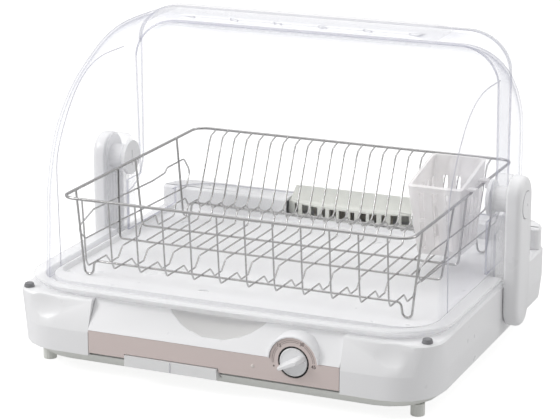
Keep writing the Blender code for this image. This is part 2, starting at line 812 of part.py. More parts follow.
def cover_shell(name, path, half, side_points, bows, first_inward, last_inward):
    """A cover's open surface: sections along its path, closed by a flat side at each end."""
    shape = bmesh.new()
    rows = []
    for index, point in enumerate(path):
        ahead = path[min(index + 1, len(path) - 1)]
        behind = path[max(index - 1, 0)]
        along = (ahead - behind).normalized()
        inward = Vector((0, along.z, -along.y))
        if index == 0:
            inward = first_inward
        if index == len(path) - 1:
            inward = last_inward
        rows.append([shape.verts.new(spot) for spot in cover_section(point, inward, half, bows[index])])
    count = len(rows[0])
    for low, high in zip(rows, rows[1:]):
        for index in range(count - 1):
            shape.faces.new((low[index], low[index + 1], high[index + 1], high[index]))
    for column, x in ((0, -half), (count - 1, half)):
        edge = [row[column] for row in rows]
        extra = [shape.verts.new(place(x, depth, height)) for depth, height in side_points]
        face = edge + extra
        shape.faces.new(face[::-1] if column else face)
    cover = object_from(name, shape, clear_plastic)
    return solidify(cover, cover_wall)


def front_cover():
    """Clear cover that swings back about the hub, with a round ear at each pivot."""
    path = slope_path()
    tall = roof_z - ledge_z
    bows = [cover_bow * max(0.0, 1 - (point.z - ledge_z) / tall) for point in path]
    ear = arc((hub_depth, hub_height), hub_ear_radius, 0, -90, corner_steps)
    side_points = ear + [(hub_depth, ledge_z - edge_round)]
    cover = cover_shell("front_cover", path, cover_half_width, side_points, bows, Vector((0, 1, 0)),
                        Vector((0, 0, -1)))
    boolean(cover, box("cover_trim", place(-half_case, -overrun, split_z),
                       place(half_case, case_depth, ledge_z + seat_gap)))
    boolean(cover, rod("pivot_bore", hub_pin_radius + running_gap, hub - Vector((half_case, 0, 0)),
                       hub + Vector((half_case, 0, 0))))
    vent_pitch = roof_vent_width + roof_vent_depth
    for index in range(roof_vents):
        x = (index - (roof_vents - 1) / 2) * vent_pitch
        boolean(cover,
                box(f"roof_vent_{index}", place(x - roof_vent_width / 2, hub_depth - 2 * roof_vent_depth,
                                                       roof_z - overrun),
                           place(x + roof_vent_width / 2, hub_depth - roof_vent_depth, roof_z + overrun)))
    return cover


def rear_cover():
    """Fixed clear cover inside the front one, with a tail that closes the side under the pivot."""
    path = rear_path()
    half = cover_half_width - cover_wall - nest_gap
    notch_z = hub_height - hub_cap_radius - 2 * edge_round
    side_points = [(case_depth - pan_rear_inset, housing_z + seat_gap),
                   (case_depth - pan_rear_inset, plateau_z + seat_gap),
                   (rear_tail_front, plateau_z + seat_gap),
                   (rear_tail_front, notch_z), (rear_cover_front, notch_z)]
    first_inward = (path[1] - path[0]).cross(Vector((1, 0, 0))).normalized()
    return cover_shell("rear_cover", path, half, side_points, [0.0] * len(path), first_inward,
                       Vector((0, -1, 0)))


def cover_rim():
    """Flared foot of the front cover, along its front and sides up to the towers."""
    lines = []
    for grow, height in ((seat_gap, seat_gap), (rim_reach, seat_gap),
                         (rim_reach + rim_flare, rim_height - edge_round),
                         (rim_reach + rim_flare - edge_round, rim_height), (seat_gap, rim_height)):
        foot = place(0, cover_front - grow + rim_sink * (grow > seat_gap), ledge_z + height)
        half = cover_half_width + grow
        front = cover_section(foot, Vector((0, 1, 0)), half, cover_bow, grow)
        ends = [place(side * half, rim_end, ledge_z + height) for side in (-1, 1)]
        lines.append([ends[0]] + front + [ends[1]])
    rings = [[line[index] for line in lines] for index in range(len(lines[0]))]
    return loft("cover_rim", rings, clear_plastic)


def vent_hood():
    """Steam hood: an open bottomed clear box that follows the roof under it, with slots in its front."""
    path = slope_path()
    hood = loft("vent_hood", hood_sections(path, 0, 0), clear_plastic, collection=dryer)
    boolean(hood, loft("hood_hollow", hood_sections(path, hood_wall, overrun), collection=cutters),
            solver="MANIFOLD")
    pitch = (hood_width - 2 * hood_taper) / hood_slots
    front = strip_y + hood_front
    slot_z = height_on(path, front) + hood_slot_height / 2
    for index in range(hood_slots):
        x = (index - (hood_slots - 1) / 2) * pitch
        boolean(hood, box(f"hood_slot_{index}", Vector((x - hood_slot_width / 2, front - overrun, slot_z)),
                          Vector((x + hood_slot_width / 2, front + overrun, slot_z + hood_slot_height))),
                solver="MANIFOLD")
    return hood


def hood_sections(path, inset, sink):
    """Cross sections of the hood from front to rear, moved in by its wall and down by the sink."""
    front, rear = strip_y + hood_front, strip_y + hood_rear
    steps = 2 * corner_steps
    rings = []
    for step in range(steps + 1):
        y = front + inset + (rear - front - 2 * inset) * step / steps
        low = height_on(path, y) + seat_gap
        lip = low + 2 * hood_wall
        ahead = (y - front - inset / 2) / hood_front_slant
        behind = (rear - inset / 2 - y) / hood_rear_slant
        top = lip + (hood_z - lip) * max(0.0, min(1.0, ahead, behind)) - inset
        half = hood_width / 2 - inset
        top_half = half - hood_taper * (top - low) / (hood_z - roof_z)
        rings.append([Vector((half, y, low - sink)), Vector((half, y, low)), Vector((top_half, y, top)),
                      Vector((-top_half, y, top)), Vector((-half, y, low)), Vector((-half, y, low - sink))]
                     if sink else
                     [Vector((half, y, low)), Vector((top_half, y, top)), Vector((-top_half, y, top)),
                      Vector((-half, y, low))])
    return rings


def height_on(path, y):
    """Height of a middle line at a place along Y."""
    for start, end in zip(path, path[1:]):
        if start.y <= y <= end.y:
            return start.z + (end.z - start.z) * (y - start.y) / (end.y - start.y)
    return path[-1].z


def tower(label, side):
    """Pivot housing outside the cover: a round topped post on the case's side."""
    half = tower_width / 2
    crown = tower_top - half
    low = tower_base + half
    outline = arc((hub_depth + strip_y, crown), half, 0, 180, 2 * corner_steps)
    outline += arc((hub_depth + strip_y, low), half, 180, 360, 2 * corner_steps)
    middle = (strip_y + hub_depth, (crown + low) / 2)

    def ring(x, inset):
        share_y = 1 - inset / half
        share_z = 1 - 2 * inset / (tower_top - tower_base)
        return [Vector((side * x, middle[0] + (y - middle[0]) * share_y,
                        middle[1] + (z - middle[1]) * share_z))
                for y, z in outline]

    rings = [ring(tower_inner, edge_round), ring(tower_inner + edge_round, 0)]
    for step in range(edge_steps + 1):
        angle = pi / 2 * step / edge_steps
        rings.append(ring(tower_outer - tower_edge * (1 - sin(angle)), tower_edge * (1 - cos(angle))))
    if side < 0:
        rings = [line[::-1] for line in rings]
    post = loft(f"tower_{label}", rings, white_plastic)
    face = Vector((side * tower_outer, hub.y, hub_height - tower_cap_drop))
    inward = Vector((-side, 0, 0))
    radius = tower_cap_width / 2
    boolean(post, rod(f"cap_seat_{label}", radius + seat_gap, face - inward * overrun,
                      face + inward * tower_cap_thickness))
    rod(f"tower_cap_{label}", radius - edge_round / 4, face - inward * edge_round / 4,
        face + inward * (tower_cap_thickness - seat_gap), white_plastic)
    pin(label, side, post)
    return post


def hinge_on(empty, *names):
    """Parents pieces to an empty on their joint's axis, where they already lie."""
    bpy.context.view_layer.update()
    for name in names:
        piece = bpy.data.objects[name]
        piece.parent = empty
        piece.matrix_parent_inverse = empty.matrix_world.inverted()


def pin(label, side, post):
    """Pivot pin from the tower through the cover, with a slotted cap inside."""
    wall_inner = cover_half_width - cover_wall
    cap_far = Vector((side * (wall_inner - slide_gap - hub_cap_thickness), 0, 0)) + hub
    cap_near = Vector((side * (wall_inner - slide_gap), 0, 0)) + hub
    end = Vector((side * (tower_inner + tower_edge), 0, 0)) + hub
    shaft = rod(f"hub_pin_{label}", hub_pin_radius, cap_near - Vector((side * hub_cap_thickness / 2, 0, 0)),
                end,
                white_plastic)
    boolean(shaft, rod(f"hub_cap_{label}", hub_cap_radius, cap_far, cap_near), "UNION")
    slot = box(f"hub_slot_{label}", Vector((-hub_slot_depth, -hub_slot_width / 2, -hub_slot_length / 2)),
               Vector((hub_slot_depth, hub_slot_width / 2, hub_slot_length / 2)))
    slot.location = cap_far
    boolean(shaft, slot)
    boolean(post, rod(f"pin_seat_{label}", hub_pin_radius + seat_gap, hub,
                      end + Vector((side * seat_gap, 0, 0))))


def hinge_arm(label, side):
    """Clear ribbed strap on the cover's side, which turns on the pivot pin beside the tower."""
    reach = hub_height - ledge_z - slide_gap
    swing = atan2(arm_half_width, reach)
    middle = strip_y + hub_depth
    crown = arc((middle, tower_top - arm_half_width), arm_half_width, 0, 180, 2 * corner_steps)
    foot = [(middle + reach * sin(angle), hub_height - reach * cos(angle))
            for angle in (-swing, -swing / 2, 0, swing / 2, swing)]
    lines = [[Vector((side * x, y, z)) for y, z in crown + foot]
             for x in (cover_half_width + seat_gap, tower_inner - slide_gap)]
    arm = loft(f"hinge_arm_{label}", lines, clear_plastic)
    for index in range(arm_ribs - 1):
        y = middle + (index - (arm_ribs - 2) / 2) * arm_rib_pitch
        groove = (arm_rib_pitch - arm_rib_width) / 2
        low_x, high_x = sorted((side * (cover_half_width + seat_gap + arm_plate), side * tower_outer))
        boolean(arm, box(f"arm_groove_{label}_{index}", Vector((low_x, y - groove, 0)),
                         Vector((high_x, y + groove, hub_height - hub_cap_radius))))
    boolean(arm,
            rod(f"arm_bore_{label}", hub_pin_radius + running_gap, hub,
                hub + Vector((side * tower_outer, 0, 0))))
    return arm


rib_front_shares = ((0.000, 1.000), (0.0124, 0.487), (0.0186, 0.255), (0.031, 0.183), (0.152, 0.183),
                    (0.182, 0.070), (0.234, 0.070), (0.267, 0.183))
rib_step_shares = ((0.646, 0.183), (0.6646, 0.324), (0.739, 0.324), (0.764, 0.206))
rib_rear_shares = ((0.8416, 0.206), (0.860, 0.262), (0.938, 0.870), (0.955, 0.955), (1.000, 1.000))
bridge_shares = ((0.386, 0.183), (0.402, 0.324), (0.510, 0.324), (0.528, 0.183))
short_rib_start_share = 0.345
cross_frame_shares = ((0.0935, 0.183, 0.097), (0.3478, 0.183, 0.388), (0.5124, 0.183, 0.5124),
                      (0.8168, 0.206, 0.829))


def rack_point(x, depth_share, height_share):
    return place(x, rack_front + rack_depth * depth_share, rack_z + rack_height * height_share)


def rib(name, x, with_bridge=False, short=False):
    """One bent rib: front wall, floor with a groove and a step, and leaning back wall."""
    profile = [(short_rib_start_share, rib_step_shares[0][1])] if short else list(rib_front_shares)
    if with_bridge:
        profile += bridge_shares
    if x < rack_half_width - basket_width - rib_pitch / 2:
        profile += rib_step_shares
    profile += rib_rear_shares
    return wire(name, [rack_point(x, *spot) for spot in profile], rib_wire, None, rack_wires)


def side_x(height_share):
    """How far out the rack's leaning sides stand at a height."""
    return rack_half_width - rack_lean * (1 - height_share)


def cross_frame(name, depth_share, floor_share, top_share, foot=False):
    """A wire under the ribs whose ends rise to the rim, the front and rear ones with feet."""
    floor_drop = Vector((0, 0, weld_sink - rib_wire - frame_wire))
    lift = Vector((0, 0, frame_wire - rib_wire))
    side = [rack_point(side_x(1), top_share, 1)]
    if foot:
        side += [rack_point(side_x(0), depth_share, 0) + lift,
                 rack_point(side_x(0) - frame_foot, depth_share, 0) + lift,
                 rack_point(side_x(0) - frame_foot - 2 * frame_wire, depth_share, floor_share) + floor_drop]
    else:
        side += [rack_point(side_x(floor_share), depth_share, floor_share) + floor_drop]
    mirrored = [Vector((-spot.x, spot.y, spot.z)) for spot in side[::-1]]
    points = round_path(side + mirrored, frame_bend, 2)
    return wire(name, points, frame_wire, None, rack_wires)


handle_shares = ((0.081, 0.545), (0.20, 0.665), (0.62, 0.625), (0.720, 0.640), (0.742, 0.690),
                 (0.875, 0.690), (0.910, 0.510), (0.875, 0.330), (0.128, 0.385))


def rack_handle(name, side):
    """Closed side loop with a kink in its upper wire, welded outside the cross frames' risers."""
    reach = frame_wire + rib_wire - weld_sink
    points = [rack_point(side * (side_x(height) + reach), depth, height) for depth, height in handle_shares]
    return wire(name, round_path(points, handle_bend, 2, True), rib_wire, None, rack_wires, True)


def wire_rack():
    """Welded rack: rim, ribs, cross frames and handle loops joined into one piece."""
    corners = [(-rack_half_width, 0), (rack_half_width, 0), (rack_half_width, 1), (-rack_half_width, 1)]
    rim = round_path([rack_point(x, share, 1) for x, share in corners], rack_corner, 4, True)
    rack = wire("wire_rack", rim, rim_wire, stainless, dryer, True)
    for index in range(2 * rib_pairs):
        x = (index - (2 * rib_pairs - 1) / 2) * rib_pitch
        rib(f"rib_{index}", x, with_bridge=index == 0)
    for index in range(2 * rib_pairs - 1):
        rib(f"short_rib_{index}", (index - rib_pairs + 1) * rib_pitch, with_bridge=False, short=True)
    for index, (depth_share, floor_share, top_share) in enumerate(cross_frame_shares):
        cross_frame(f"cross_{index}", depth_share, floor_share, top_share,
                    index in (0, len(cross_frame_shares) - 1))
    rack_handle("handle_left", -1)
    rack_handle("handle_right", 1)
    for part in rack_wires.objects:
        part.hide_render = True
        part.display_type = "WIRE"
    weld = rack.modifiers.new("weld", "BOOLEAN")
    weld.operation = "UNION"
    weld.operand_type = "COLLECTION"
    weld.collection = rack_wires
    return rack


def cutlery_basket():
    """Slotted basket with a raised rear, hooked over the rack's right side."""
    outer_x = rack_half_width - rim_wire - slide_gap
    inner_x = outer_x - basket_width
    top = rack_z + rack_height + rim_wire + basket_draft / 2
    low = top - basket_height
    back = basket_start + basket_length
    corner = 2 * basket_wall

    def ring(inset, low_share, fall=0.0):
        x0, x1 = inner_x + inset, outer_x - inset
        y0, y1 = basket_start + 2 * inset, back - inset / 4
        outline = []
        for cx, cy, turn in ((x1 - corner, y0 + corner, -90), (x1 - corner, y1 - corner, 0),
                             (x0 + corner, y1 - corner, 90), (x0 + corner, y0 + corner, 180)):
            outline += arc((cx, cy), corner, turn, turn + 90, 2)
        rise = basket_rear_rise * (1 - low_share)
        return [place(x, y, low + (top - low) * (1 - low_share) + rise * (y - y0) / (y1 - y0) - fall)
                for x, y in outline]

    basket = loft("cutlery_basket", [ring(0, 0), ring(basket_draft, 1)][::-1], white_plastic)
    hollow = loft("basket_hollow", [[spot + Vector((0, 0, overrun)) for spot in basket_inner(ring, 0)],
                                    basket_inner(ring, 1)][::-1], collection=cutters)
    boolean(basket, hollow, solver="MANIFOLD")
    slot_rows(basket, inner_x, outer_x, low, top)
    hook_x = outer_x + 2 * (rim_wire + slide_gap) + basket_wall
    hook_z = rack_z + rack_height + rim_wire + seat_gap
    for label, depth in (("front", basket_start + basket_length / 4), ("rear", back - basket_length / 4)):
        points = [(outer_x - basket_hook_root, hook_z), (hook_x, hook_z),
                  (hook_x, hook_z - basket_hook_drop)]
        hook = [(x, z) for x, z in points]
        outline = [hook[0], (hook_x - basket_wall, hook_z),
                   (hook_x - basket_wall, hook_z - basket_hook_drop),
                   (hook_x, hook_z - basket_hook_drop), (hook_x, hook_z + basket_wall),
                   (outer_x - basket_hook_root, hook_z + basket_wall)]
        boolean(basket, front_profile(f"basket_hook_{label}", outline, basket_hook_width,
                                      depth - basket_hook_width / 2, None, cutters), "UNION", "MANIFOLD")
    return basket


def basket_inner(ring, low_share):
    """The basket's ring moved in by its wall, and up from the floor."""
    spots = ring(basket_draft * low_share, low_share)
    middle = sum(spots, Vector()) / len(spots)
    made = []
    for spot in spots:
        flat = Vector((spot.x - middle.x, spot.y - middle.y, 0))
        made.append(spot - Vector((basket_wall * (1 if flat.x > 0 else -1),
                                   basket_wall * (1 if flat.y > 0 else -1),
                                   -basket_wall * low_share)))
    return made


def slot_rows(basket, inner_x, outer_x, low, top):
    """Vertical slots through the basket's four walls, in two rows with a band between them."""
    band = 3 * basket_wall
    rows = ((low + band, (low + top) / 2 - basket_wall), ((low + top) / 2 + basket_wall, top - band))
    for row, (z0, z1) in enumerate(rows):
        for index in range(basket_front_slots):
            x = (inner_x + outer_x) / 2 + (index - (basket_front_slots - 1) / 2) * basket_slot_pitch_across
            boolean(basket, box(f"basket_slot_x_{row}_{index}",
                                place(x - basket_slot_width / 2, basket_start - overrun, z0),
                                place(x + basket_slot_width / 2, basket_start + basket_length + overrun,
                                      z1)),
                    solver="MANIFOLD")
        middle_y = basket_start + basket_length / 2 + basket_draft
        for index in range(basket_side_slots):
            y = middle_y + (index - (basket_side_slots - 1) / 2) * basket_slot_pitch_along
            boolean(basket,
                    box(f"basket_slot_y_{row}_{index}",
                        place(inner_x - overrun, y - basket_slot_width / 2, z0),
                                place(outer_x + overrun, y + basket_slot_width / 2, z1)), solver="MANIFOLD")


def rear_housing():
    """Raised rear of the case over the air duct, open below and at the outlet."""
    front = case_depth - pan_rear_inset + edge_round + seat_gap + edge_round
    outline = rounded_outline(half_case - edge_round, front, case_depth - seat_gap, 3 * edge_round,
                              shoulder_corner)
    top = rounded_outline(half_case - 2 * edge_round, front + edge_round, case_depth - edge_round,
                          3 * edge_round,
                          shoulder_corner)
    rings = [level(outline, ledge_z + seat_gap), level(outline, housing_z - edge_round),
             level(top, housing_z)]
    housing = loft("rear_housing", rings, white_plastic)
    inner = rounded_outline(half_case - edge_round - case_wall, front + case_wall,
                            case_depth - seat_gap - case_wall,
                            edge_round, shoulder_corner - case_wall)
    boolean(housing, loft("housing_hollow", [level(inner, split_z), level(inner, housing_z - case_wall)],
                          collection=cutters))
    half = outlet_width / 2 + seat_gap
    boolean(housing, box("outlet_notch", place(outlet_offset - half, front - overrun, lower_z),
                         place(outlet_offset + half, rear_cover_back - cover_wall - seat_gap, roof_z)),
            solver="MANIFOLD")
    pitch = intake_pitch
    for index in range(intake_slots):
        x = outlet_offset + (index - (intake_slots - 1) / 2) * pitch
        boolean(housing, box(f"rear_slot_{index}", place(x - intake_slot_width / 2, case_depth - overrun / 2,
                                                         ledge_z + 2 * case_wall),
                             place(x + intake_slot_width / 2, case_depth + overrun,
                                   housing_z - 2 * case_wall)))
    return housing


def air_outlet_cover():
    """Bowed grille in the rear housing, with slots of unlike widths under a sloped top."""
    half = outlet_width / 2
    back = rear_cover_back - cover_wall - slide_gap
    low, face_top = ledge_z + plateau_rise + seat_gap, ledge_z + plateau_rise + outlet_face_height
    rear_top = face_top + outlet_rise

    def ring(height_front, height_rear, inset):
        front = [(outlet_offset + (half - inset) * share, outlet_front + inset + outlet_bow * share ** 2)
                 for share in outlet_bow_shares]
        rear = [(outlet_offset + half - inset, back), (outlet_offset - half + inset, back)]
        return [place(x, y, height_front) for x, y in front] + [place(x, y, height_rear) for x, y in rear]

    rings = [ring(low, low, 0), ring(face_top - edge_round, face_top, 0),
             ring(face_top, rear_top, edge_round)]
    cover = solidify(loft("air_outlet_cover", rings, outlet_plastic, caps=(False, True)), outlet_wall)
    pitch = outlet_width * outlet_grille_share / outlet_slots
    wide = pitch * outlet_slot_share
    for index in range(outlet_slots):
        x = outlet_offset + (index - (outlet_slots - 1) / 2) * pitch
        width = wide if index % 3 else wide * outlet_narrow_share
        boolean(cover,
                box(f"outlet_slot_{index}", place(x - width / 2, outlet_front - overrun, low + outlet_wall),
                           place(x + width / 2, outlet_front + outlet_bow + outlet_wall + edge_round,
                                 low + outlet_wall + outlet_slot_height)))
    return cover


def fan():
    """Motor on the lower case, centrifugal impeller, housing with its duct, and the heater."""
    middle_x, depth = outlet_offset, fan_depth
    motor_low = lower_z + 2 * case_wall + seat_gap
    motor_high = motor_low + motor_height
    rod("fan_motor", motor_radius, place(middle_x, depth, motor_low), place(middle_x, depth, motor_high),
        zinc_steel)
    wheel_low = motor_high + 2 * slide_gap
    wheel_high = wheel_low + fan_height
    wheel = rod("fan_impeller", fan_radius, place(middle_x, depth, wheel_low),
                place(middle_x, depth, wheel_low + blade_thickness), dark_plastic)
    boolean(wheel, rod("wheel_hub", fan_hub_radius, place(middle_x, depth, wheel_low + blade_thickness / 2),
                       place(middle_x, depth, wheel_high - blade_thickness), sides=small_sides), "UNION")
    for index in range(fan_blades):
        blade = box(f"blade_{index}",
                    (fan_radius * blade_root_share, -blade_thickness / 2, wheel_low + blade_thickness / 2),
                    (fan_radius - blade_thickness / 2, blade_thickness / 2, wheel_high))
        turn = Matrix.Rotation(2 * pi * index / fan_blades, 4, "Z")
        blade.matrix_world = Matrix.Translation(place(middle_x, depth,
                                                      0)) @ turn @ Matrix.Translation(blade.location)
        boolean(wheel, blade, "UNION")
    move_origin(wheel, place(middle_x, depth, wheel_low))
    boolean(wheel, rod("wheel_bore", shaft_radius, place(middle_x, depth, 0), place(middle_x, depth, roof_z),
                       sides=small_sides))
    rod("motor_shaft", shaft_radius - seat_gap / 2, place(middle_x, depth, motor_high + seat_gap),
        place(middle_x, depth, wheel_high), zinc_steel, sides=small_sides)
    fan_housing(middle_x, depth)
    heater(middle_x)


def fan_housing(middle_x, depth):
    """Round housing over the impeller, hung under the case, with a mouth to the duct."""
    wall = case_wall / 2
    radius = fan_radius + fan_housing_gap
    low = lower_z + 2 * case_wall + motor_height
    high = ledge_z - case_wall - seat_gap
    drum = rod("fan_housing", radius + wall, place(middle_x, depth, low), place(middle_x, depth, high),
               pale_plastic)
    duct_rear = case_depth - 2 * case_wall
    duct = box("duct_outer", place(middle_x - duct_width / 2 + wall, depth, high - duct_height - 2 * wall),
               place(middle_x + duct_width / 2 - wall, duct_rear - wall, high))
    boolean(drum, duct, "UNION")
    boolean(drum,
            rod("drum_inner", radius, place(middle_x, depth, low - overrun),
                place(middle_x, depth, high - wall)))
    boolean(drum, box("duct_inner", place(middle_x - duct_width / 2 + 2 * wall, depth + radius / 3,
                                          high - duct_height - wall),
                      place(middle_x + duct_width / 2 - 2 * wall, duct_rear - 2 * wall, high - wall)))
    boolean(drum,
            box("duct_mouth",
                place(middle_x - duct_width / 2 + 2 * wall, case_depth - pan_rear_inset + 2 * wall,
                                          high - 2 * wall),
                      place(middle_x + duct_width / 2 - 2 * wall, duct_rear - 2 * wall, high + overrun)))


def heater(middle_x):
    """Mica board in the outlet with a wire wound to and fro on its front."""
    half = duct_width / 2 - case_wall
    depth = outlet_front + outlet_bow + 3 * outlet_wall
    low = ledge_z + plateau_rise - case_wall
    high = low + duct_height
    box("heater_board", place(middle_x - half, depth, low),
        place(middle_x + half, depth + heater_thickness, high), mica)
    turns = 2 * corner_steps
    step = 2 * (half - case_wall) / turns
    points = []
    for index in range(turns + 1):
        x = middle_x - half + case_wall + index * step
        ends = (low + case_wall, high - case_wall) if index % 2 else (high - case_wall, low + case_wall)
        points += [place(x, depth - heater_wire - seat_gap, end) for end in ends]
    wire("heater_coil", points, heater_wire, zinc_steel)


front_cover()
cover_rim()
rear_cover()
vent_hood()
upper_case()
lower_case()
rear_housing()
feet()
bumpers()
front_panel()
trim_strip()
timer()
drip_tray()
tower("left", -1)
tower("right", 1)
hinge_arm("left", -1)
hinge_arm("right", 1)
cover_hinge = add_object("cover_hinge", None, None)
cover_hinge.location = hub
hinge_on(cover_hinge, "front_cover", "cover_rim", "vent_hood", "hinge_arm_left", "hinge_arm_right")
wire_rack()
cutlery_basket()
air_outlet_cover()
fan()
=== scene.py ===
import json
from math import acos, cos, pi, radians, sin

import bmesh
import bpy
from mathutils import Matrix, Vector


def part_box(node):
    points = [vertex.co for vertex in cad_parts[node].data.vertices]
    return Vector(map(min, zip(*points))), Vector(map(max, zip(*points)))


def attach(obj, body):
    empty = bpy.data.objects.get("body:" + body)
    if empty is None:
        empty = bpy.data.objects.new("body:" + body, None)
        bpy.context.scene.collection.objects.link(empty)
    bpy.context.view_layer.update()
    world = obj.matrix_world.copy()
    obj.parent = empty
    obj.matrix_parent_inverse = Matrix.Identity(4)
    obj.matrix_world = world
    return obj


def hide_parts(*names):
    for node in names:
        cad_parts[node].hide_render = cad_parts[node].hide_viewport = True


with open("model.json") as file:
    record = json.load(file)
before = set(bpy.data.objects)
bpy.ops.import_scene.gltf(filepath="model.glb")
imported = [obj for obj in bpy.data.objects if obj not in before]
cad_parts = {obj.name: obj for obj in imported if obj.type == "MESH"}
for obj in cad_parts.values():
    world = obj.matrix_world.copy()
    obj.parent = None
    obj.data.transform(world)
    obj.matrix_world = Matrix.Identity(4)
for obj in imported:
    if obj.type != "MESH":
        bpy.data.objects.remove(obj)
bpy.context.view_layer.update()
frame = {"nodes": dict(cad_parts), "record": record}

nodes = frame["nodes"]
record = frame["record"]
bodyOf = {node: body for body, members in record["behaviour"]["bodies"].items() for node in members}
slotOf = {row["node"]: row["material_slot"] for row in record["subparts"]}
stripY = -0.188    # plane of the taupe strip
ledgeZ = 0.0796    # top of the case under the cover's rim
axisGap = 0.0001   # turned shapes stop this short of their axis
print("frame loaded:", len(nodes), "nodes")


# a shader socket that can be added and multiplied in plain Python
class Signal:
    def __init__(self, finish, socket):
        self.finish, self.socket = finish, socket

    def maths(self, operation, other):
        return self.finish.node("ShaderNodeMath", {"operation": operation}, {0: self, 1: other})

    def __add__(self, other):
        return self.maths("ADD", other)

    def __sub__(self, other):
        return self.maths("SUBTRACT", other)

    def __mul__(self, other):
        return self.maths("MULTIPLY", other)

    def __pow__(self, other):
        return self.maths("POWER", other)

    __radd__ = __add__


# one procedural material, built up from its own nodes
class Finish:
    def __init__(self, name, colour, roughness, **sockets):
        self.material = bpy.data.materials.new(name)
        self.material.use_nodes = True
        self.tree = self.material.node_tree
        self.shader = self.tree.nodes["Principled BSDF"]
        self.colour = colour
        self.set("Base Color", (*colour, 1))
        self.set("Roughness", roughness)
        for socket, value in sockets.items():
            self.set(socket.replace("_", " "), value)
        self.spot = self.node("ShaderNodeTexCoord", {}, {}, "Object")

    def node(self, kind, settings, sockets, output=0):
        made = self.tree.nodes.new(kind)
        for name, setting in settings.items():
            setattr(made, name, setting)
        for socket, value in sockets.items():
            self.feed(made.inputs[socket], value)
        return Signal(self, made.outputs[output])

    def feed(self, socket, value):
        if isinstance(value, Signal):
            self.tree.links.new(value.socket, socket)
        else:
            socket.default_value = value

    def set(self, socket, value):
        self.feed(self.shader.inputs[socket], value)

    def noise(self, scale, detail, rough=0.5):
        return self.node("ShaderNodeTexNoise", {}, {"Vector": self.spot, "Scale": scale, "Detail": detail,
                                                    "Roughness": rough})

    def mixed(self, mask, first, second):
        # inputs 6 and 7 and output 2 are the mix node's colours
        return self.node("ShaderNodeMix", {"data_type": "RGBA"}, {0: mask, 6: first, 7: second}, 2)

    def shade(self, mask, other):
        self.set("Base Color", self.mixed(mask, (*self.colour, 1), (*other, 1)))

    def bump(self, height, strength, distance):
        self.set("Normal", self.node("ShaderNodeBump", {}, {"Height": height, "Strength": strength,
                                                            "Distance": distance}))


# moulded plastic: faint clouds of tone, uneven gloss and a fine skin
moulding = dict(cloudScale=9, cloudDetail=4, cloudRough=0.6, fineDetail=2, glossScale=45, glossSpread=0.03,
                skinScale=1400, skinStrength=0.04, skinDepth=0.0002)
# clear sheet: denser where it is seen edge on, with a faint uneven film
sheet = dict(ior=1.49, blend=0.5, filmScale=5, filmDetail=3, filmRough=0.6, lighter=1.03,
             alphaSpread=0.02, glossSpread=0.03)
# metal: fine grain in tone, gloss and height
metalGrain = dict(scale=700, detail=4, rough=0.65, darker=0.86, glossSpread=0.12, strength=0.12,
                  depth=0.0001)


def moulded(name, colour, other, roughness, skin=1.0):
    made = Finish(name, colour, roughness)
    made.shade(made.noise(moulding["cloudScale"], moulding["cloudDetail"], moulding["cloudRough"]), other)
    gloss = made.noise(moulding["glossScale"], moulding["fineDetail"])
    made.set("Roughness", roughness + (gloss - 0.5) * moulding["glossSpread"])
    fine = made.noise(moulding["skinScale"], moulding["fineDetail"])
    made.bump(fine, moulding["skinStrength"] * skin, moulding["skinDepth"])
    return made


def clearSheet(name, colour, thin, edge, roughness, power=3.0, edgeColour=None):
    made = Finish(name, colour, roughness, IOR=sheet["ior"])
    facing = made.node("ShaderNodeLayerWeight", {}, {"Blend": sheet["blend"]}, "Facing")
    film = made.noise(sheet["filmScale"], sheet["filmDetail"], sheet["filmRough"])
    if edgeColour:
        made.shade(facing ** 2, edgeColour)
    else:
        made.shade(film, tuple(min(1, value * sheet["lighter"]) for value in colour))
    made.set("Alpha", facing ** power * (edge - thin) + thin + (film - 0.5) * sheet["alphaSpread"])
    made.set("Roughness", roughness + film * sheet["glossSpread"])
    return made


def metal(name, colour, roughness):
    made = Finish(name, colour, roughness, Metallic=1.0)
    grain = made.noise(metalGrain["scale"], metalGrain["detail"], metalGrain["rough"])
    made.shade(grain, tuple(value * metalGrain["darker"] for value in colour))
    made.set("Roughness", roughness + grain * metalGrain["glossSpread"])
    made.bump(grain, metalGrain["strength"], metalGrain["depth"])
    return made


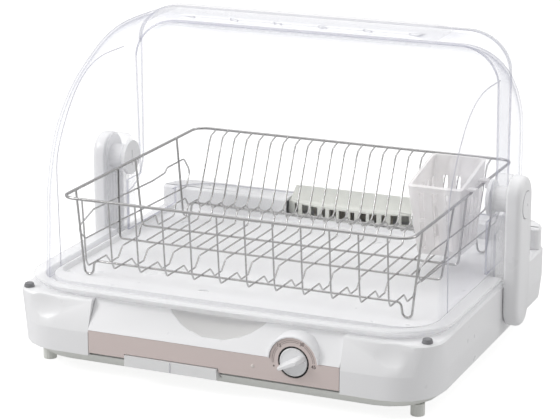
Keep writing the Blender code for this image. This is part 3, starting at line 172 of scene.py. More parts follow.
# the first eleven are the record's slots, the rest are worn by single pieces
finishes = dict(
    white_plastic=moulded("glossWhite", (0.88, 0.88, 0.89), (0.872, 0.872, 0.883), 0.28),
    pale_plastic=moulded("satinGrey", (0.82, 0.83, 0.79), (0.79, 0.80, 0.765), 0.45, 2.0),
    taupe_plastic=moulded("satinTaupe", (0.70, 0.605, 0.58), (0.685, 0.59, 0.566), 0.40, 1.5),
    dark_plastic=moulded("mattBlack", (0.014, 0.014, 0.016), (0.022, 0.022, 0.024), 0.5, 2.0),
    rubber=moulded("darkRubber", (0.19, 0.19, 0.20), (0.24, 0.24, 0.25), 0.6, 3.0),
    outlet_plastic=moulded("satinStone", (0.80, 0.81, 0.755), (0.77, 0.78, 0.73), 0.5, 1.5),
    mica=moulded("micaBoard", (0.55, 0.5, 0.4), (0.42, 0.38, 0.30), 0.6, 4.0),
    clear_plastic=clearSheet("clearCover", (0.84, 0.85, 0.95), 0.014, 0.80, 0.05, 5.5,
                             (0.44, 0.45, 0.58)),
    smoke_plastic=clearSheet("smokeDrawer", (0.97, 0.975, 0.98), 0.80, 0.92, 0.12),
    stainless=metal("stainlessWire", (0.52, 0.515, 0.51), 0.08),
    zinc_steel=metal("zincSteel", (0.60, 0.60, 0.60), 0.3),
    clearEdge=clearSheet("clearEdge", (0.46, 0.47, 0.58), 0.45, 0.80, 0.08),
    rimPlastic=clearSheet("clearRim", (0.94, 0.94, 0.95), 0.42, 0.80, 0.08),
    clearThick=clearSheet("clearThick", (0.94, 0.94, 0.97), 0.06, 0.50, 0.07),
    armPlastic=clearSheet("armPlastic", (0.97, 0.97, 0.98), 0.14, 0.55, 0.07),
    milkWhite=clearSheet("milkWhite", (0.95, 0.93, 0.93), 0.62, 0.92, 0.25),
    # fine darker lines: painted shade along the cover's side creases, and the drawer's divider on its front
    fineDarkLine=clearSheet("fineDarkLine", (0.70, 0.70, 0.76), 0.55, 0.85, 0.10),
    lampLens=clearSheet("lampLens", (0.90, 0.84, 0.80), 0.75, 0.95, 0.10),
    # darker grey for the finger recess's inner faces: painted shade under the panel's overhang
    recessPaintedShade=moulded("recessPaintedShade", (0.68, 0.675, 0.67), (0.66, 0.655, 0.65), 0.40),
    ink=moulded("dialInk", (0.13, 0.10, 0.095), (0.17, 0.13, 0.12), 0.5))
print("finishes made:", len(finishes))


def place(x, depth, height):
    # depth counts back from the taupe strip
    return Vector((x, stripY + depth, height))


def arc(centre, radius, start, end, steps):
    angles = [radians(start + (end - start) * step / steps) for step in range(steps + 1)]
    return [(centre[0] + radius * cos(angle), centre[1] + radius * sin(angle)) for angle in angles]


def linked(name, data):
    made = bpy.data.objects.new(name, data)
    bpy.context.scene.collection.objects.link(made)
    return made


def pieceFrom(name, shape, smooth=32):
    mesh = bpy.data.meshes.new(name)
    shape.to_mesh(mesh)
    shape.free()
    mesh.shade_smooth()
    mesh.set_sharp_from_angle(angle=radians(smooth))
    return linked(name, mesh)


def applied(piece):
    # bakes the piece's modifiers into its mesh
    bpy.context.view_layer.update()
    graph = bpy.context.evaluated_depsgraph_get()
    mesh = bpy.data.meshes.new_from_object(piece.evaluated_get(graph))
    piece.modifiers.clear()
    piece.data = mesh
    return piece


def cut(piece, cutter, operation="DIFFERENCE"):
    step = piece.modifiers.new("cut", "BOOLEAN")
    step.operation, step.solver, step.object = operation, "EXACT", cutter
    applied(piece)
    bpy.data.objects.remove(cutter)


def softened(piece, width, segments=3, angle=40):
    step = piece.modifiers.new("soft", "BEVEL")
    step.width, step.segments = width, segments
    step.limit_method, step.angle_limit = "ANGLE", radians(angle)
    step.harden_normals = True
    return applied(piece)


def loft(name, rings, smooth=32):
    # skin over closed rings, with a cap at each end
    shape = bmesh.new()
    rows = [[shape.verts.new(point) for point in ring] for ring in rings]
    count = len(rows[0])
    for low, high in zip(rows, rows[1:]):
        for index in range(count):
            after = (index + 1) % count
            shape.faces.new((low[index], low[after], high[after], high[index]))
    shape.faces.new(rows[0][::-1])
    shape.faces.new(rows[-1])
    bmesh.ops.recalc_face_normals(shape, faces=shape.faces)
    return pieceFrom(name, shape, smooth)


def block(name, low, high):
    (x0, y0, z0), (x1, y1, z1) = low, high
    outline = ((x0, y0), (x1, y0), (x1, y1), (x0, y1))
    return loft(name, [[Vector((x, y, z)) for x, y in outline] for z in (z0, z1)])


def lathe(name, profile, origin, axis, sides=64):
    # turns a profile of radius and reach round an axis through origin
    turn = Vector(axis).to_track_quat("Z", "Y").to_matrix()
    rings = [[Vector(origin) + turn @ Vector((radius * cos(2 * pi * side / sides),
                                              radius * sin(2 * pi * side / sides), reach))
              for side in range(sides)] for radius, reach in profile]
    return loft(name, rings)


def tube(name, paths, radius, resolution=3):
    # one curve with a spline for each wire; a path is (points, closed)
    curve = bpy.data.curves.new(name, "CURVE")
    curve.dimensions = "3D"
    curve.bevel_depth, curve.bevel_resolution = radius, resolution
    curve.use_fill_caps = True
    for points, closed in paths:
        spline = curve.splines.new("POLY")
        spline.points.add(len(points) - 1)
        for spot, point in zip(spline.points, points):
            spot.co = (*point, 1)
        spline.use_cyclic_u = closed
        spline.use_smooth = True
    return linked(name, curve)


bend = dict(straight=88, sideShare=0.48)   # half angle that needs no bend, most that a bend takes of a side


def bent(points, radius, steps=4, closed=False):
    # rounds each inner corner of a path, as far as its sides allow
    points, share = [Vector(point) for point in points], bend["sideShare"]
    made = []
    for index, point in enumerate(points):
        if not closed and index in (0, len(points) - 1):
            made.append(point)
            continue
        before, after = points[index - 1] - point, points[(index + 1) % len(points)] - point
        half = before.angle(after) / 2
        if half > radians(bend["straight"]):
            made.append(point)
            continue
        slope = sin(half) / cos(half)
        reach = min(radius / max(slope, 1e-6), share * before.length, share * after.length)
        size = reach * slope
        before, after = before.normalized(), after.normalized()
        middle = point + (before + after).normalized() * size / sin(half)
        start = (point + before * reach - middle).normalized()
        end = (point + after * reach - middle).normalized()
        made += [middle + start.slerp(end, step / steps) * size for step in range(steps + 1)]
    return made


def coat(piece, names):
    # puts finishes on a piece and keeps which face wears which
    worn = [face.material_index for face in piece.data.polygons] if len(names) > 1 else []
    piece.data.materials.clear()
    for name in names:
        piece.data.materials.append(finishes[name].material)
    if worn:
        for face, index in zip(piece.data.polygons, worn):
            face.material_index = index


def dress(piece, finish, body, slot, *replaced):
    coat(piece, finish if isinstance(finish, tuple) else (finish,))
    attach(piece, body)
    if replaced:
        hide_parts(*replaced)
    return piece


def standFor(piece, node, finish=None):
    return dress(piece, finish or slotOf[node], bodyOf[node], slotOf[node], node)


# every node gets its finish; the ones that are rebuilt below are hidden then
nodeFinish = dict(vent_hood="clearThick", hinge_arm_left="armPlastic", hinge_arm_right="armPlastic")
for node, obj in nodes.items():
    obj.data.materials.clear()
    obj.data.materials.append(finishes[nodeFinish.get(node, slotOf[node])].material)
print("CAD nodes dressed")

# depths and heights are shares of the way from the foot to the rear edge and to the roof
cover = dict(halfWidth=0.2135, wall=0.0025, front=0.0175, rear=0.2780, roofZ=0.3316, bow=0.0060, steps=6,
             depths=(0.0, 0.024, 0.044, 0.128, 0.269, 0.4545, 0.663, 1.0),
             heights=(0.0, 0.222, 0.420, 0.649, 0.814, 0.928, 0.998, 1.0),
             edgeAcross=0.047, edgeIn=0.042, edgeSteps=14, flatSteps=12, smooth=50, footDrop=0.002,
             footGap=0.0003, hubDepth=0.239, hubZ=0.1655, boreRadius=0.0135, earRadius=0.039, earSteps=16,
             vents=5, ventPitch=0.050, ventHalf=0.020, ventDepth=(0.219, 0.229), ventZ=(0.31, 0.35),
             cutterReach=0.3)


def smoothBetween(before, start, end, after, along):
    into, out = (end - before) / 2, (after - start) / 2
    square, cube = along ** 2, along ** 3
    return (start * (2 * cube - 3 * square + 1) + into * (cube - 2 * square + along)
            + end * (3 * square - 2 * cube) + out * (cube - square))


def smoothLine(spots, steps):
    # smooth curve through the spots, in that many steps from each to the next
    ends = [spots[0] * 2 - spots[1]] + spots + [spots[-1] * 2 - spots[-2]]
    line = []
    for four in zip(ends, ends[1:], ends[2:], ends[3:]):
        line += [smoothBetween(*four, step / steps) for step in range(steps)]
    return line + [spots[-1]]


def coverSection(point, inward, half, bow, grow=0.0):
    # the cover's outline across its width: rounded edge, flat middle, rounded edge
    across, steps, flatSteps = cover["edgeAcross"] + grow, cover["edgeSteps"], cover["flatSteps"]
    offsets = []
    for step in range(steps + 1):
        angle = pi / 2 * step / steps
        offsets.append((across * (1 - cos(angle)) - half, (cover["edgeIn"] + grow) * (1 - sin(angle))))
    offsets += [((half - across) * (2 * step / flatSteps - 1), 0) for step in range(1, flatSteps)]
    offsets += [(-x, drop) for x, drop in offsets[steps::-1]]
    return [point + Vector((x, 0, 0)) + inward * (drop + bow * (x / half) ** 2) for x, drop in offsets]


def coverShell(name, path, half, sidePoints, bows, firstInward, lastInward):
    # sections along a path, a flat wall on each side, then the sheet's thickness
    shape = bmesh.new()
    rows = []
    for index, point in enumerate(path):
        along = (path[min(index + 1, len(path) - 1)] - path[max(index - 1, 0)]).normalized()
        inward = Vector((0, along.z, -along.y))
        if index == 0:
            inward = firstInward
        elif index == len(path) - 1:
            inward = lastInward
        rows.append([shape.verts.new(spot) for spot in coverSection(point, inward, half, bows[index])])
    count = len(rows[0])
    for low, high in zip(rows, rows[1:]):
        for index in range(count - 1):
            shape.faces.new((low[index], low[index + 1], high[index + 1], high[index]))
    for column, x in ((0, -half), (count - 1, half)):
        face = [row[column] for row in rows] + [shape.verts.new(place(x, *spot)) for spot in sidePoints]
        shape.faces.new(face[::-1] if column else face)
    piece = pieceFrom(name, shape, cover["smooth"])
    for face in piece.data.polygons:
        face.use_smooth = len(face.vertices) == 4   # the side walls stay flat
    coat(piece, ("clear_plastic", "clearEdge"))
    thick = piece.modifiers.new("wall", "SOLIDIFY")
    thick.thickness, thick.offset, thick.use_even_offset = cover["wall"], -1, True
    thick.material_offset_rim = 1
    return applied(piece)


def frontCover():
    footZ = ledgeZ - cover["footDrop"]
    spots = [place(0, cover["front"] + (cover["rear"] - cover["front"]) * depth,
                   footZ + (cover["roofZ"] - footZ) * height)
             for depth, height in zip(cover["depths"], cover["heights"])]
    path = smoothLine(spots, cover["steps"])
    tall = cover["roofZ"] - ledgeZ
    bows = [cover["bow"] * max(0.0, 1 - (point.z - ledgeZ) / tall) for point in path]
    hub = (cover["hubDepth"], cover["hubZ"])
    sidePoints = arc(hub, cover["earRadius"], 0, -90, cover["earSteps"]) + [(hub[0], footZ)]
    piece = coverShell("frontCoverSheet", path, cover["halfWidth"], sidePoints, bows,
                       Vector((0, 1, 0)), Vector((0, 0, -1)))
    radius, reach = cover["boreRadius"], cover["cutterReach"]
    cut(piece, block("coverTrim", (-reach, -reach, 0), (reach, reach, ledgeZ + cover["footGap"])))
    cut(piece, lathe("pivotBore", [(radius, -reach), (radius, reach)], place(0, *hub), (1, 0, 0)))
    (front, back), (low, high) = cover["ventDepth"], cover["ventZ"]
    for index in range(cover["vents"]):
        x = (index - (cover["vents"] - 1) / 2) * cover["ventPitch"]
        cut(piece, block("roofVent", (x - cover["ventHalf"], stripY + front, low),
                         (x + cover["ventHalf"], stripY + back, high)))
    standFor(piece, "front_cover", ("clear_plastic", "clearEdge"))


# front is where the roof starts, step is where the foot rises on the rear housing
rear = dict(nest=0.003, front=0.2595, back=0.3800, roofDrop=0.012, shoulder=0.1130, steps=30,
            backFootZ=0.1036, sideFootZ=0.0856, footGap=0.0003, step=0.3455, sideFront=0.2270,
            hubClear=0.019, notchClear=0.004)


def rearCover():
    # nests inside the front cover: an arc of an ellipse, then a straight back
    half = cover["halfWidth"] - cover["wall"] - rear["nest"]
    hub, back, shoulder = cover["hubDepth"], rear["back"], rear["shoulder"]
    backFoot, sideFoot = rear["backFootZ"] + rear["footGap"], rear["sideFootZ"] + rear["footGap"]
    shoulderZ = cover["roofZ"] - rear["roofDrop"] - shoulder
    start = acos((rear["front"] - hub) / (back - hub))
    path = []
    for step in range(rear["steps"] + 1):
        angle = start * (1 - step / rear["steps"])
        path.append(place(0, hub + (back - hub) * cos(angle), shoulderZ + shoulder * sin(angle)))
    path += [place(0, back, (shoulderZ + backFoot) / 2), place(0, back, backFoot)]
    notch = cover["hubZ"] - rear["hubClear"] - rear["notchClear"]
    sidePoints = [(rear["step"], backFoot), (rear["step"], sideFoot), (rear["sideFront"], sideFoot),
                  (rear["sideFront"], notch), (rear["front"], notch)]
    inward = (path[1] - path[0]).cross(Vector((1, 0, 0))).normalized()
    piece = coverShell("rearCoverSheet", path, half, sidePoints, [0.0] * len(path), inward,
                       Vector((0, -1, 0)))
    standFor(piece, "rear_cover", ("clear_plastic", "clearEdge"))


rim = dict(height=0.0098, reach=0.0075, flare=0.0080, sink=0.0060, end=0.2130, gap=0.0003,
           lipIn=0.0012, lipDrop=0.0032, round=0.002, turns=(0, 22, 45, 67, 90))


def coverRim():
    # a profile of (how far out, how high) that follows the cover's foot
    gap, curve, height = rim["gap"], rim["round"], rim["height"]
    outer = rim["reach"] + rim["flare"]
    profile = [(gap, gap), (rim["reach"], gap), (outer - rim["lipIn"], height - rim["lipDrop"])]
    for turn in rim["turns"]:
        profile.append((outer - curve * (1 - cos(radians(turn))), height - curve * (1 - sin(radians(turn)))))
    profile.append((gap, height))
    lines = []
    for grow, rise in profile:
        foot = place(0, cover["front"] - grow + rim["sink"] * (grow > gap), ledgeZ + rise)
        half = cover["halfWidth"] + grow
        front = coverSection(foot, Vector((0, 1, 0)), half, cover["bow"], grow)
        ends = [place(side * half, rim["end"], ledgeZ + rise) for side in (-1, 1)]
        lines.append([ends[0]] + front + [ends[1]])
    standFor(loft("coverFootRim", zip(*lines)), "cover_rim", "rimPlastic")


# thin darker tube along each side crease of the front cover: painted shade
creaseShade = dict(radius=0.0006, resolution=2, steps=5, spots=(
    (0.0868, 0.0815), (0.0865, 0.1028), (0.0850, 0.151), (0.0840, 0.1844), (0.0875, 0.2067),
    (0.102, 0.2325), (0.1181, 0.2528), (0.1368, 0.2700), (0.1615, 0.2830), (0.192, 0.2890),
    (0.2380, 0.2893)))


def coverCreaseShade():
    # painted shade: a fine darker line on each side wall, where the front's curve runs out, stands in for
    # the shading along that crease
    lines = []
    for side in (-1, 1):
        spots = [place(side * cover["halfWidth"], *spot) for spot in creaseShade["spots"]]
        lines.append((smoothLine(spots, creaseShade["steps"]), False))
    piece = tube("coverSideCreaseShade", lines, creaseShade["radius"], creaseShade["resolution"])
    dress(piece, "fineDarkLine", "cover", "clear_plastic")


frontCover()
rearCover()
coverRim()
coverCreaseShade()
print("clear covers built")

# the wires' courses are shares of the rack's depth and height
rack = dict(
    halfWidth=0.189, front=0.048, depth=0.322, floorZ=0.0821, height=0.0893, corner=0.015, cornerSteps=12,
    rimWire=0.0016, ribWire=0.0009, frameWire=0.0012, ribBend=0.004, frameBend=0.005, handleBend=0.007,
    bendSteps=5, ribs=12, pitch=0.030, lean=0.009, foot=0.009, sink=0.0008, stepEnd=0.114,
    ribFront=((0.000, 1.000), (0.0124, 0.487), (0.0186, 0.255), (0.031, 0.183), (0.152, 0.183),
              (0.182, 0.070), (0.234, 0.070), (0.267, 0.183)),
    ribShort=((0.345, 0.183),),
    ribBridge=((0.386, 0.183), (0.402, 0.324), (0.510, 0.324), (0.528, 0.183)),
    ribStep=((0.646, 0.183), (0.6646, 0.324), (0.739, 0.324), (0.764, 0.206)),
    ribRear=((0.8416, 0.206), (0.860, 0.262), (0.938, 0.870), (0.955, 0.955), (1.000, 1.000)),
    handle=((0.081, 0.545), (0.20, 0.665), (0.62, 0.625), (0.720, 0.640), (0.742, 0.690), (0.875, 0.690),
            (0.910, 0.510), (0.875, 0.330), (0.128, 0.385)),
    # depth, height of the floor, depth at the rim, whether it stands on feet
    frames=((0.0935, 0.183, 0.097, True), (0.3478, 0.183, 0.388, False), (0.5124, 0.183, 0.5124, False),
            (0.8168, 0.206, 0.829, True)))


def rackPoint(x, depth, height):
    return place(x, rack["front"] + rack["depth"] * depth, rack["floorZ"] + rack["height"] * height)


def ribPath(x, bridge, short):
    course = rack["ribShort"] if short else rack["ribFront"]
    course += rack["ribBridge"] if bridge else ()
    course += rack["ribStep"] if x < rack["stepEnd"] else ()
    return bent([rackPoint(x, *spot) for spot in course + rack["ribRear"]], rack["ribBend"])


def framePath(depth, floor, top, foot):
    drop = Vector((0, 0, rack["sink"] - rack["ribWire"] - rack["frameWire"]))
    lift = Vector((0, 0, rack["frameWire"] - rack["ribWire"]))
    low = rack["halfWidth"] - rack["lean"]
    side = [rackPoint(rack["halfWidth"], top, 1)]
    if foot:
        side += [rackPoint(low, depth, 0) + lift, rackPoint(low - rack["foot"], depth, 0) + lift,
                 rackPoint(low - rack["foot"] - 2 * rack["frameWire"], depth, floor) + drop]
    else:
        side += [rackPoint(rack["halfWidth"] - rack["lean"] * (1 - floor), depth, floor) + drop]
    mirrored = [Vector((-spot.x, spot.y, spot.z)) for spot in side[::-1]]
    return bent(side + mirrored, rack["frameBend"], rack["bendSteps"])


def wireRack():
    half, pitch, count = rack["halfWidth"], rack["pitch"], rack["ribs"]
    corners = [rackPoint(x, share, 1) for x, share in ((-half, 0), (half, 0), (half, 1), (-half, 1))]
    rimPath = bent(corners, rack["corner"], rack["cornerSteps"], True)
    standFor(tube("rackRim", [(rimPath, True)], rack["rimWire"], 4), "wire_rack")
    ribs = [(ribPath((index - (count - 1) / 2) * pitch, index == 0, False), False) for index in range(count)]
    ribs += [(ribPath((index - (count - 2) / 2) * pitch, False, True), False) for index in range(count - 1)]
    dress(tube("rackRibs", ribs, rack["ribWire"]), "stainless", "rack", "stainless")
    frames = [(framePath(*row), False) for row in rack["frames"]]
    dress(tube("rackFrames", frames, rack["frameWire"]), "stainless", "rack", "stainless")
    reach = rack["frameWire"] + rack["ribWire"] - rack["sink"]   # the handles lie outside the frames
    loops = []
    for side in (-1, 1):
        points = [rackPoint(side * (half - rack["lean"] * (1 - height) + reach), depth, height)
                  for depth, height in rack["handle"]]
        loops.append((bent(points, rack["handleBend"], rack["bendSteps"], True), True))
    dress(tube("rackHandles", loops, rack["ribWire"]), "stainless", "rack", "stainless")


wireRack()
print("wire rack built")

recess = dict(slope=(0, -0.858, 0.5135), onSlope=0.999, half=0.0545, low=0.0515, high=0.0791, margin=0.001,
              round=0.0020, segments=4, inside=0.1856)


def roundRecess(shape):
    # wide soft lip round the finger recess, whose inner faces wear the second finish, a darker grey that is
    # painted shade under the overhang
    slope = Vector(recess["slope"])
    lip = []
    for edge in shape.edges:
        onSlope = [face.normal.dot(slope) > recess["onSlope"] for face in edge.link_faces]
        inside = all(abs(end.co.x) < recess["half"]
                     and recess["low"] < end.co.z < recess["high"] + recess["margin"] for end in edge.verts)
        if inside and sum(onSlope) == 1 and min(end.co.z for end in edge.verts) < recess["high"]:
            lip.append(edge)
    bmesh.ops.bevel(shape, geom=lip, offset=recess["round"], segments=recess["segments"], profile=0.5,
                    affect="EDGES", clamp_overlap=True)
    # faces inside the recess get the darker grey, painted shade
    for face in shape.faces:
        spot = face.calc_center_median()
        if abs(spot.x) < recess["half"] and spot.z > recess["low"] and spot.dot(slope) < recess["inside"]:
            face.material_index = 1


# nodes that keep their own shape: name, width of the soft edges, and a finish other than the slot's
shells = dict(
    upper_case=("caseShell", 0.0010), lower_case=("baseShell", 0.0008),
    front_panel=("panelShell", 0.0007, ("white_plastic", "recessPaintedShade")),
    rear_housing=("housingShell", 0.0010), tower_left=("towerShellLeft", 0.0006),
    tower_right=("towerShellRight", 0.0006), air_outlet_cover=("outletGrille", 0.0004),
    cutlery_basket=("basketShell", 0.0004, "milkWhite"), trim_strip=("stripPlate", 0.0002))
flatAngles = dict(upper_case=1.2)   # degrees under which faces merge, where it isn't 0.4


def refined(node, name, width, finish=None):
    shape = bmesh.new()
    shape.from_mesh(nodes[node].data)
    bmesh.ops.remove_doubles(shape, verts=shape.verts, dist=1e-6)
    bmesh.ops.dissolve_limit(shape, angle_limit=radians(flatAngles.get(node, 0.4)), verts=shape.verts,
                             edges=shape.edges)
    if node == "front_panel":
        roundRecess(shape)
    piece = pieceFrom(name, shape)
    if isinstance(finish, tuple):
        coat(piece, finish)
    softened(piece, width)
    standFor(piece, node, finish)


cheeks = dict(inner=0.1362, outer=0.1383, soft=0.0003, profile=(
    (0.0030, 0.0300), (0.0012, 0.0480), (0.0106, 0.0774), (0.0283, 0.0788), (0.0283, 0.0300)))


def panelCheeks():
    # side walls of the seat that the front panel sits in
    for label, side in (("Left", -1), ("Right", 1)):
        rings = [[place(side * x, *spot) for spot in cheeks["profile"]]
                 for x in (cheeks["inner"], cheeks["outer"])]
        cheek = softened(loft("panelCheek" + label, rings), cheeks["soft"], 2)
        dress(cheek, "white_plastic", "base", "white_plastic")


strainer = dict(x=-0.0437, depth=0.0760, top=0.0800, thick=0.0010, radius=0.0058, sides=32,
                ring=0.0032, holes=6, holeRadius=0.0008, holeBelow=0.003, holeReach=0.006, holeSides=12)


def drainStrainer():
    # white disc with small holes, set into the pan's drain
    x, depth, top, thick = strainer["x"], strainer["depth"], strainer["top"], strainer["thick"]
    radius, holeRadius, ring = strainer["radius"], strainer["holeRadius"], strainer["ring"]
    disc = lathe("drainStrainer", [(radius, 0), (radius, thick)], place(x, depth, top - thick), (0, 0, 1),
                 strainer["sides"])
    for spot in range(strainer["holes"]):
        turn = radians(360 / strainer["holes"] * spot)
        hole = place(x + ring * cos(turn), depth + ring * sin(turn), top - strainer["holeBelow"])
        cut(disc, lathe("strainerHole", [(holeRadius, 0), (holeRadius, strainer["holeReach"])], hole,
                        (0, 0, 1), strainer["holeSides"]))
    dress(disc, "white_plastic", "base", "white_plastic")


divider = dict(halfWidth=0.0005, proud=0.0004, inset=0.0006)


def trayRib():
    # the drawer's divider shows as a fine upright on its front
    low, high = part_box("drip_tray")
    middle, half, inset = (low[0] + high[0]) / 2, divider["halfWidth"], divider["inset"]
    rib = block("trayFrontRib", (middle - half, low[1] - divider["proud"], low[2] + inset),
                (middle + half, low[1] + inset, high[2] - inset))
    dress(rib, "fineDarkLine", "tray", "smoke_plastic")


for node, shell in shells.items():
    refined(node, *shell)
panelCheeks()
drainStrainer()
trayRib()
print("case pieces softened")

dial = dict(x=0.088, z=0.0494, offAngle=197, numbers=(("15", 134), ("30", 65), ("45", -5)),
            numberRadius=0.0213, numberSize=0.0050, inkLift=0.00012, inkDepth=0.00004, inkSpread=0.00008,
            arcRadii=(0.0205, 0.0221), arcGap=9, arcSteps=20, arcWire=0.00014, dotRadius=0.0009, dotSides=24)
# the grip is the bar across the plate; its crest is the top level
knob = dict(radius=0.0143, front=0.0006, back=0.0010, edge=0.0010, edgeTurns=(20, 45, 70, 90), dish=0.0009,
            dishShares=(0.9, 0.8, 0.6, 0.4, 0.2, 0.01), pointerAngle=205.5, levels=8, sink=0.0022,
            ridge=0.0105, narrowing=0.42, tip=0.0165, tipRadius=0.0024, tipTaper=0.10, tail=0.0138,
            tailTaper=0.42, tailHalf=0.0040, tailEnd=0.0022, tailRound=0.0016,
            waist=((0.006, 0.0031), (0.0, 0.0036)), crestNarrow=0.72, crestRound=0.0006, smooth=50,
            soft=0.0005, softAngle=35)


def onDial(radius, angle, lift=0.0):
    turn = radians(angle)
    return Vector((dial["x"] + radius * cos(turn), stripY - lift, dial["z"] + radius * sin(turn)))


def gripOutline(level):
    # outline of the grip at one level, as (along the pointer, across it)
    share, end, wide = level / knob["levels"], knob["tipRadius"], knob["tailHalf"]
    narrow = 1 - knob["narrowing"] * share ** 1.6
    tail = knob["tail"] * (1 - knob["tailTaper"] * share ** 1.4)
    tip = knob["tip"] * (1 - knob["tipTaper"] * share ** 2)
    if level == knob["levels"]:
        narrow, tail, tip = narrow * knob["crestNarrow"], tail - knob["crestRound"], tip - knob["crestRound"]
    line = []
    for turn in range(-90, 91, 15):
        angle = radians(turn)
        line.append((tip - end + end * cos(angle) * narrow, end * narrow * sin(angle)))
    side = [*knob["waist"], (-0.5 * tail, wide), (-tail + knob["tailRound"], wide), (-tail, knob["tailEnd"])]
    line += [(along, half * narrow) for along, half in side]
    return line + [(along, -half * narrow) for along, half in side[::-1]]


def timerKnob():
    # dished plate with a tall grip bar whose narrow end is the pointer
    radius, front, back, edge = knob["radius"], knob["front"], -knob["back"], knob["edge"]
    profile = [(axisGap, back), (radius, back), (radius, front - edge)]
    for turn in knob["edgeTurns"]:
        profile.append((radius - edge * (1 - cos(radians(turn))), front - edge * (1 - sin(radians(turn)))))
    profile += [(radius * share, front - knob["dish"] * (1 - share ** 4)) for share in knob["dishShares"]]
    plate = lathe("knobPlate", profile, onDial(0, 0), (0, -1, 0))
    turn, foot = radians(knob["pointerAngle"]), front - knob["sink"]
    rings = []
    for level in range(knob["levels"] + 1):
        rise = foot + (knob["ridge"] - foot) * level / knob["levels"]
        rings.append([Vector((dial["x"] + along * cos(turn) - across * sin(turn), stripY - rise,
                              dial["z"] + along * sin(turn) + across * cos(turn)))
                      for along, across in gripOutline(level)])
    cut(plate, loft("knobGrip", rings, knob["smooth"]), "UNION")
    softened(plate, knob["soft"], 2, knob["softAngle"])
    standFor(plate, "timer_knob")


def dialText(text, angle):
    curve = bpy.data.curves.new("dialNumber" + text, "FONT")
    curve.body, curve.size = text, dial["numberSize"]
    curve.align_x, curve.align_y = "CENTER", "CENTER"
    curve.extrude, curve.offset = dial["inkDepth"], dial["inkSpread"]
    piece = linked("dialNumber" + text, curve)
    piece.rotation_euler = (pi / 2, 0, 0)
    piece.location = onDial(dial["numberRadius"], angle, dial["inkLift"])
    dress(piece, "ink", "base", "dark_plastic")


def dialMarks():
    for text, angle in dial["numbers"]:
        dialText(text, angle)
    steps, lines = dial["arcSteps"], []
    stops = [dial["offAngle"]] + [angle for text, angle in dial["numbers"]]
    for high, low in zip(stops, stops[1:]):
        start, span = low + dial["arcGap"], high - low - 2 * dial["arcGap"]
        for radius in dial["arcRadii"]:
            lines.append(([onDial(radius, start + span * step / steps, dial["inkLift"])
                           for step in range(steps + 1)], False))
    dress(tube("dialArcs", lines, dial["arcWire"], 1), "ink", "base", "dark_plastic")
    radius, rise = dial["dotRadius"], dial["inkLift"]
    dot = lathe("dialOffDot", [(axisGap, 0), (radius, 0), (radius, rise), (axisGap, rise)],
                onDial(dial["numberRadius"], dial["offAngle"]), (0, -1, 0), dial["dotSides"])
    dress(dot, "ink", "base", "dark_plastic")


pilot = dict(x=0.0451, z=0.0395, radius=0.0019, rise=0.0007, back=0.0004, turns=(0, 20, 40, 60, 80),
             sides=32)


def pilotLamp():
    # small domed lens of the power lamp, left of the dial
    radius, back = pilot["radius"], -pilot["back"]
    profile = [(axisGap, back), (radius, back)]
    profile += [(radius * cos(radians(turn)), pilot["rise"] * sin(radians(turn))) for turn in pilot["turns"]]
    lens = lathe("pilotLens", profile, (pilot["x"], stripY, pilot["z"]), (0, -1, 0), pilot["sides"])
    dress(lens, "lampLens", "base", "clear_plastic")


timerKnob()
dialMarks()
pilotLamp()
print("dial built")

# fitted to the photograph: focal length and width in its pixels
view = dict(spot=(0.8256, -1.9278, 0.7482), azimuth=23.36, elevation=16.12, focal=2089, width=560,
            sensor=36, near=0.05, far=60)
camera = linked("camera", bpy.data.cameras.new("camera"))
camera.location = view["spot"]
azimuth, elevation = radians(view["azimuth"]), radians(view["elevation"])
aim = Vector((-sin(azimuth) * cos(elevation), cos(azimuth) * cos(elevation), -sin(elevation)))
camera.rotation_euler = aim.to_track_quat("-Z", "Y").to_euler()
camera.data.lens, camera.data.sensor_width = view["focal"] / view["width"] * view["sensor"], view["sensor"]
camera.data.clip_start, camera.data.clip_end = view["near"], view["far"]
bpy.context.scene.camera = camera

# a lamp is name, place, size and power; the dark side shades the front right corner
studio = dict(floorSize=8, floorZ=-0.0002, floorRough=0.9, floorTone=(0.36, 0.36, 0.362),
              floorClouds=(0.38, 0.38, 0.382), cloudScale=3, cloudDetail=3, floorGlow=0.80, floorBounce=0.25,
              horizon=0.36, zenith=1.15, zenithAt=0.8, dark=(0.50, -0.86, -0.10), darkDepth=0.95,
              darkWidth=2.0, aim=(0, 0, 0.15),
              lamps=(("keyLamp", (-1.9, -1.3, 1.6), (0.9, 0.9), 25),
                     ("topLamp", (0.0, 0.6, 2.2), (1.6, 1.2), 5),
                     ("sideLamp", (1.9, 0.9, 1.0), (0.7, 1.2), 5)))


def grey(value):
    return (value, value, value, 1)


def lamp(name, spot, size, power):
    data = bpy.data.lights.new(name, "AREA")
    data.shape, data.energy = "RECTANGLE", power
    data.size, data.size_y = size
    made = linked(name, data)
    made.location = spot
    made.rotation_euler = (Vector(studio["aim"]) - Vector(spot)).to_track_quat("-Z", "Y").to_euler()


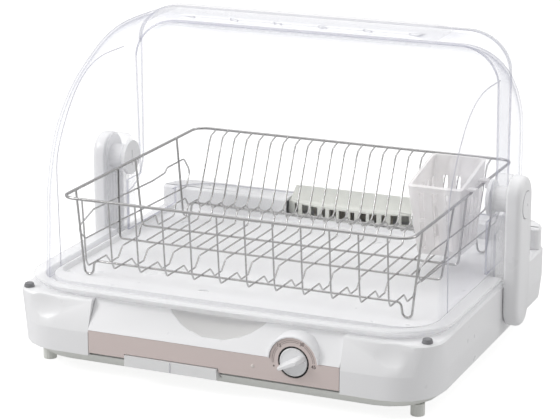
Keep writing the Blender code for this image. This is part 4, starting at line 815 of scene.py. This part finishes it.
def studioFloor():
    shape = bmesh.new()
    bmesh.ops.create_grid(shape, x_segments=4, y_segments=4, size=studio["floorSize"])
    floor = pieceFrom("studioFloor", shape)
    floor.location = (0, 0, studio["floorZ"])
    paper = Finish("studioPaper", studio["floorTone"], studio["floorRough"], Emission_Strength=1.0)
    # the floor glows less for bounced light than for the camera
    seen = paper.node("ShaderNodeLightPath", {}, {}, "Is Camera Ray")
    paper.set("Emission Color", paper.mixed(seen, grey(studio["floorBounce"]), grey(studio["floorGlow"])))
    paper.shade(paper.noise(studio["cloudScale"], studio["cloudDetail"]), studio["floorClouds"])
    floor.data.materials.append(paper.material)


def studioWorld():
    # brighter towards the zenith, and darker on one side
    world = bpy.data.worlds.new("studio")
    world.use_nodes = True
    tree = world.node_tree
    back = tree.nodes["Background"]
    spot = tree.nodes.new("ShaderNodeTexCoord").outputs["Generated"]
    split = tree.nodes.new("ShaderNodeSeparateXYZ")
    ramp = tree.nodes.new("ShaderNodeValToRGB")
    low, high = ramp.color_ramp.elements
    low.position, low.color = 0.0, grey(studio["horizon"])
    high.position, high.color = studio["zenithAt"], grey(studio["zenith"])
    tree.links.new(spot, split.inputs[0])
    tree.links.new(split.outputs["Z"], ramp.inputs[0])
    tree.links.new(ramp.outputs[0], back.inputs["Color"])
    side = tree.nodes.new("ShaderNodeVectorMath")
    side.operation = "DOT_PRODUCT"
    side.inputs[1].default_value = studio["dark"]
    tree.links.new(spot, side.inputs[0])
    strength = side.outputs["Value"]
    for operation, value in (("MAXIMUM", 0.0), ("POWER", studio["darkWidth"]),
                             ("MULTIPLY", -studio["darkDepth"]), ("ADD", 1.0)):
        step = tree.nodes.new("ShaderNodeMath")
        step.operation = operation
        step.inputs[1].default_value = value
        tree.links.new(strength, step.inputs[0])
        strength = step.outputs[0]
    tree.links.new(strength, back.inputs["Strength"])
    bpy.context.scene.world = world


studioFloor()
studioWorld()
bpy.context.scene.view_settings.view_transform = "Standard"
bpy.context.scene.cycles.transparent_max_bounces = 24   # the covers lie many sheets deep
for row in studio["lamps"]:
    lamp(*row)
print("studio set")
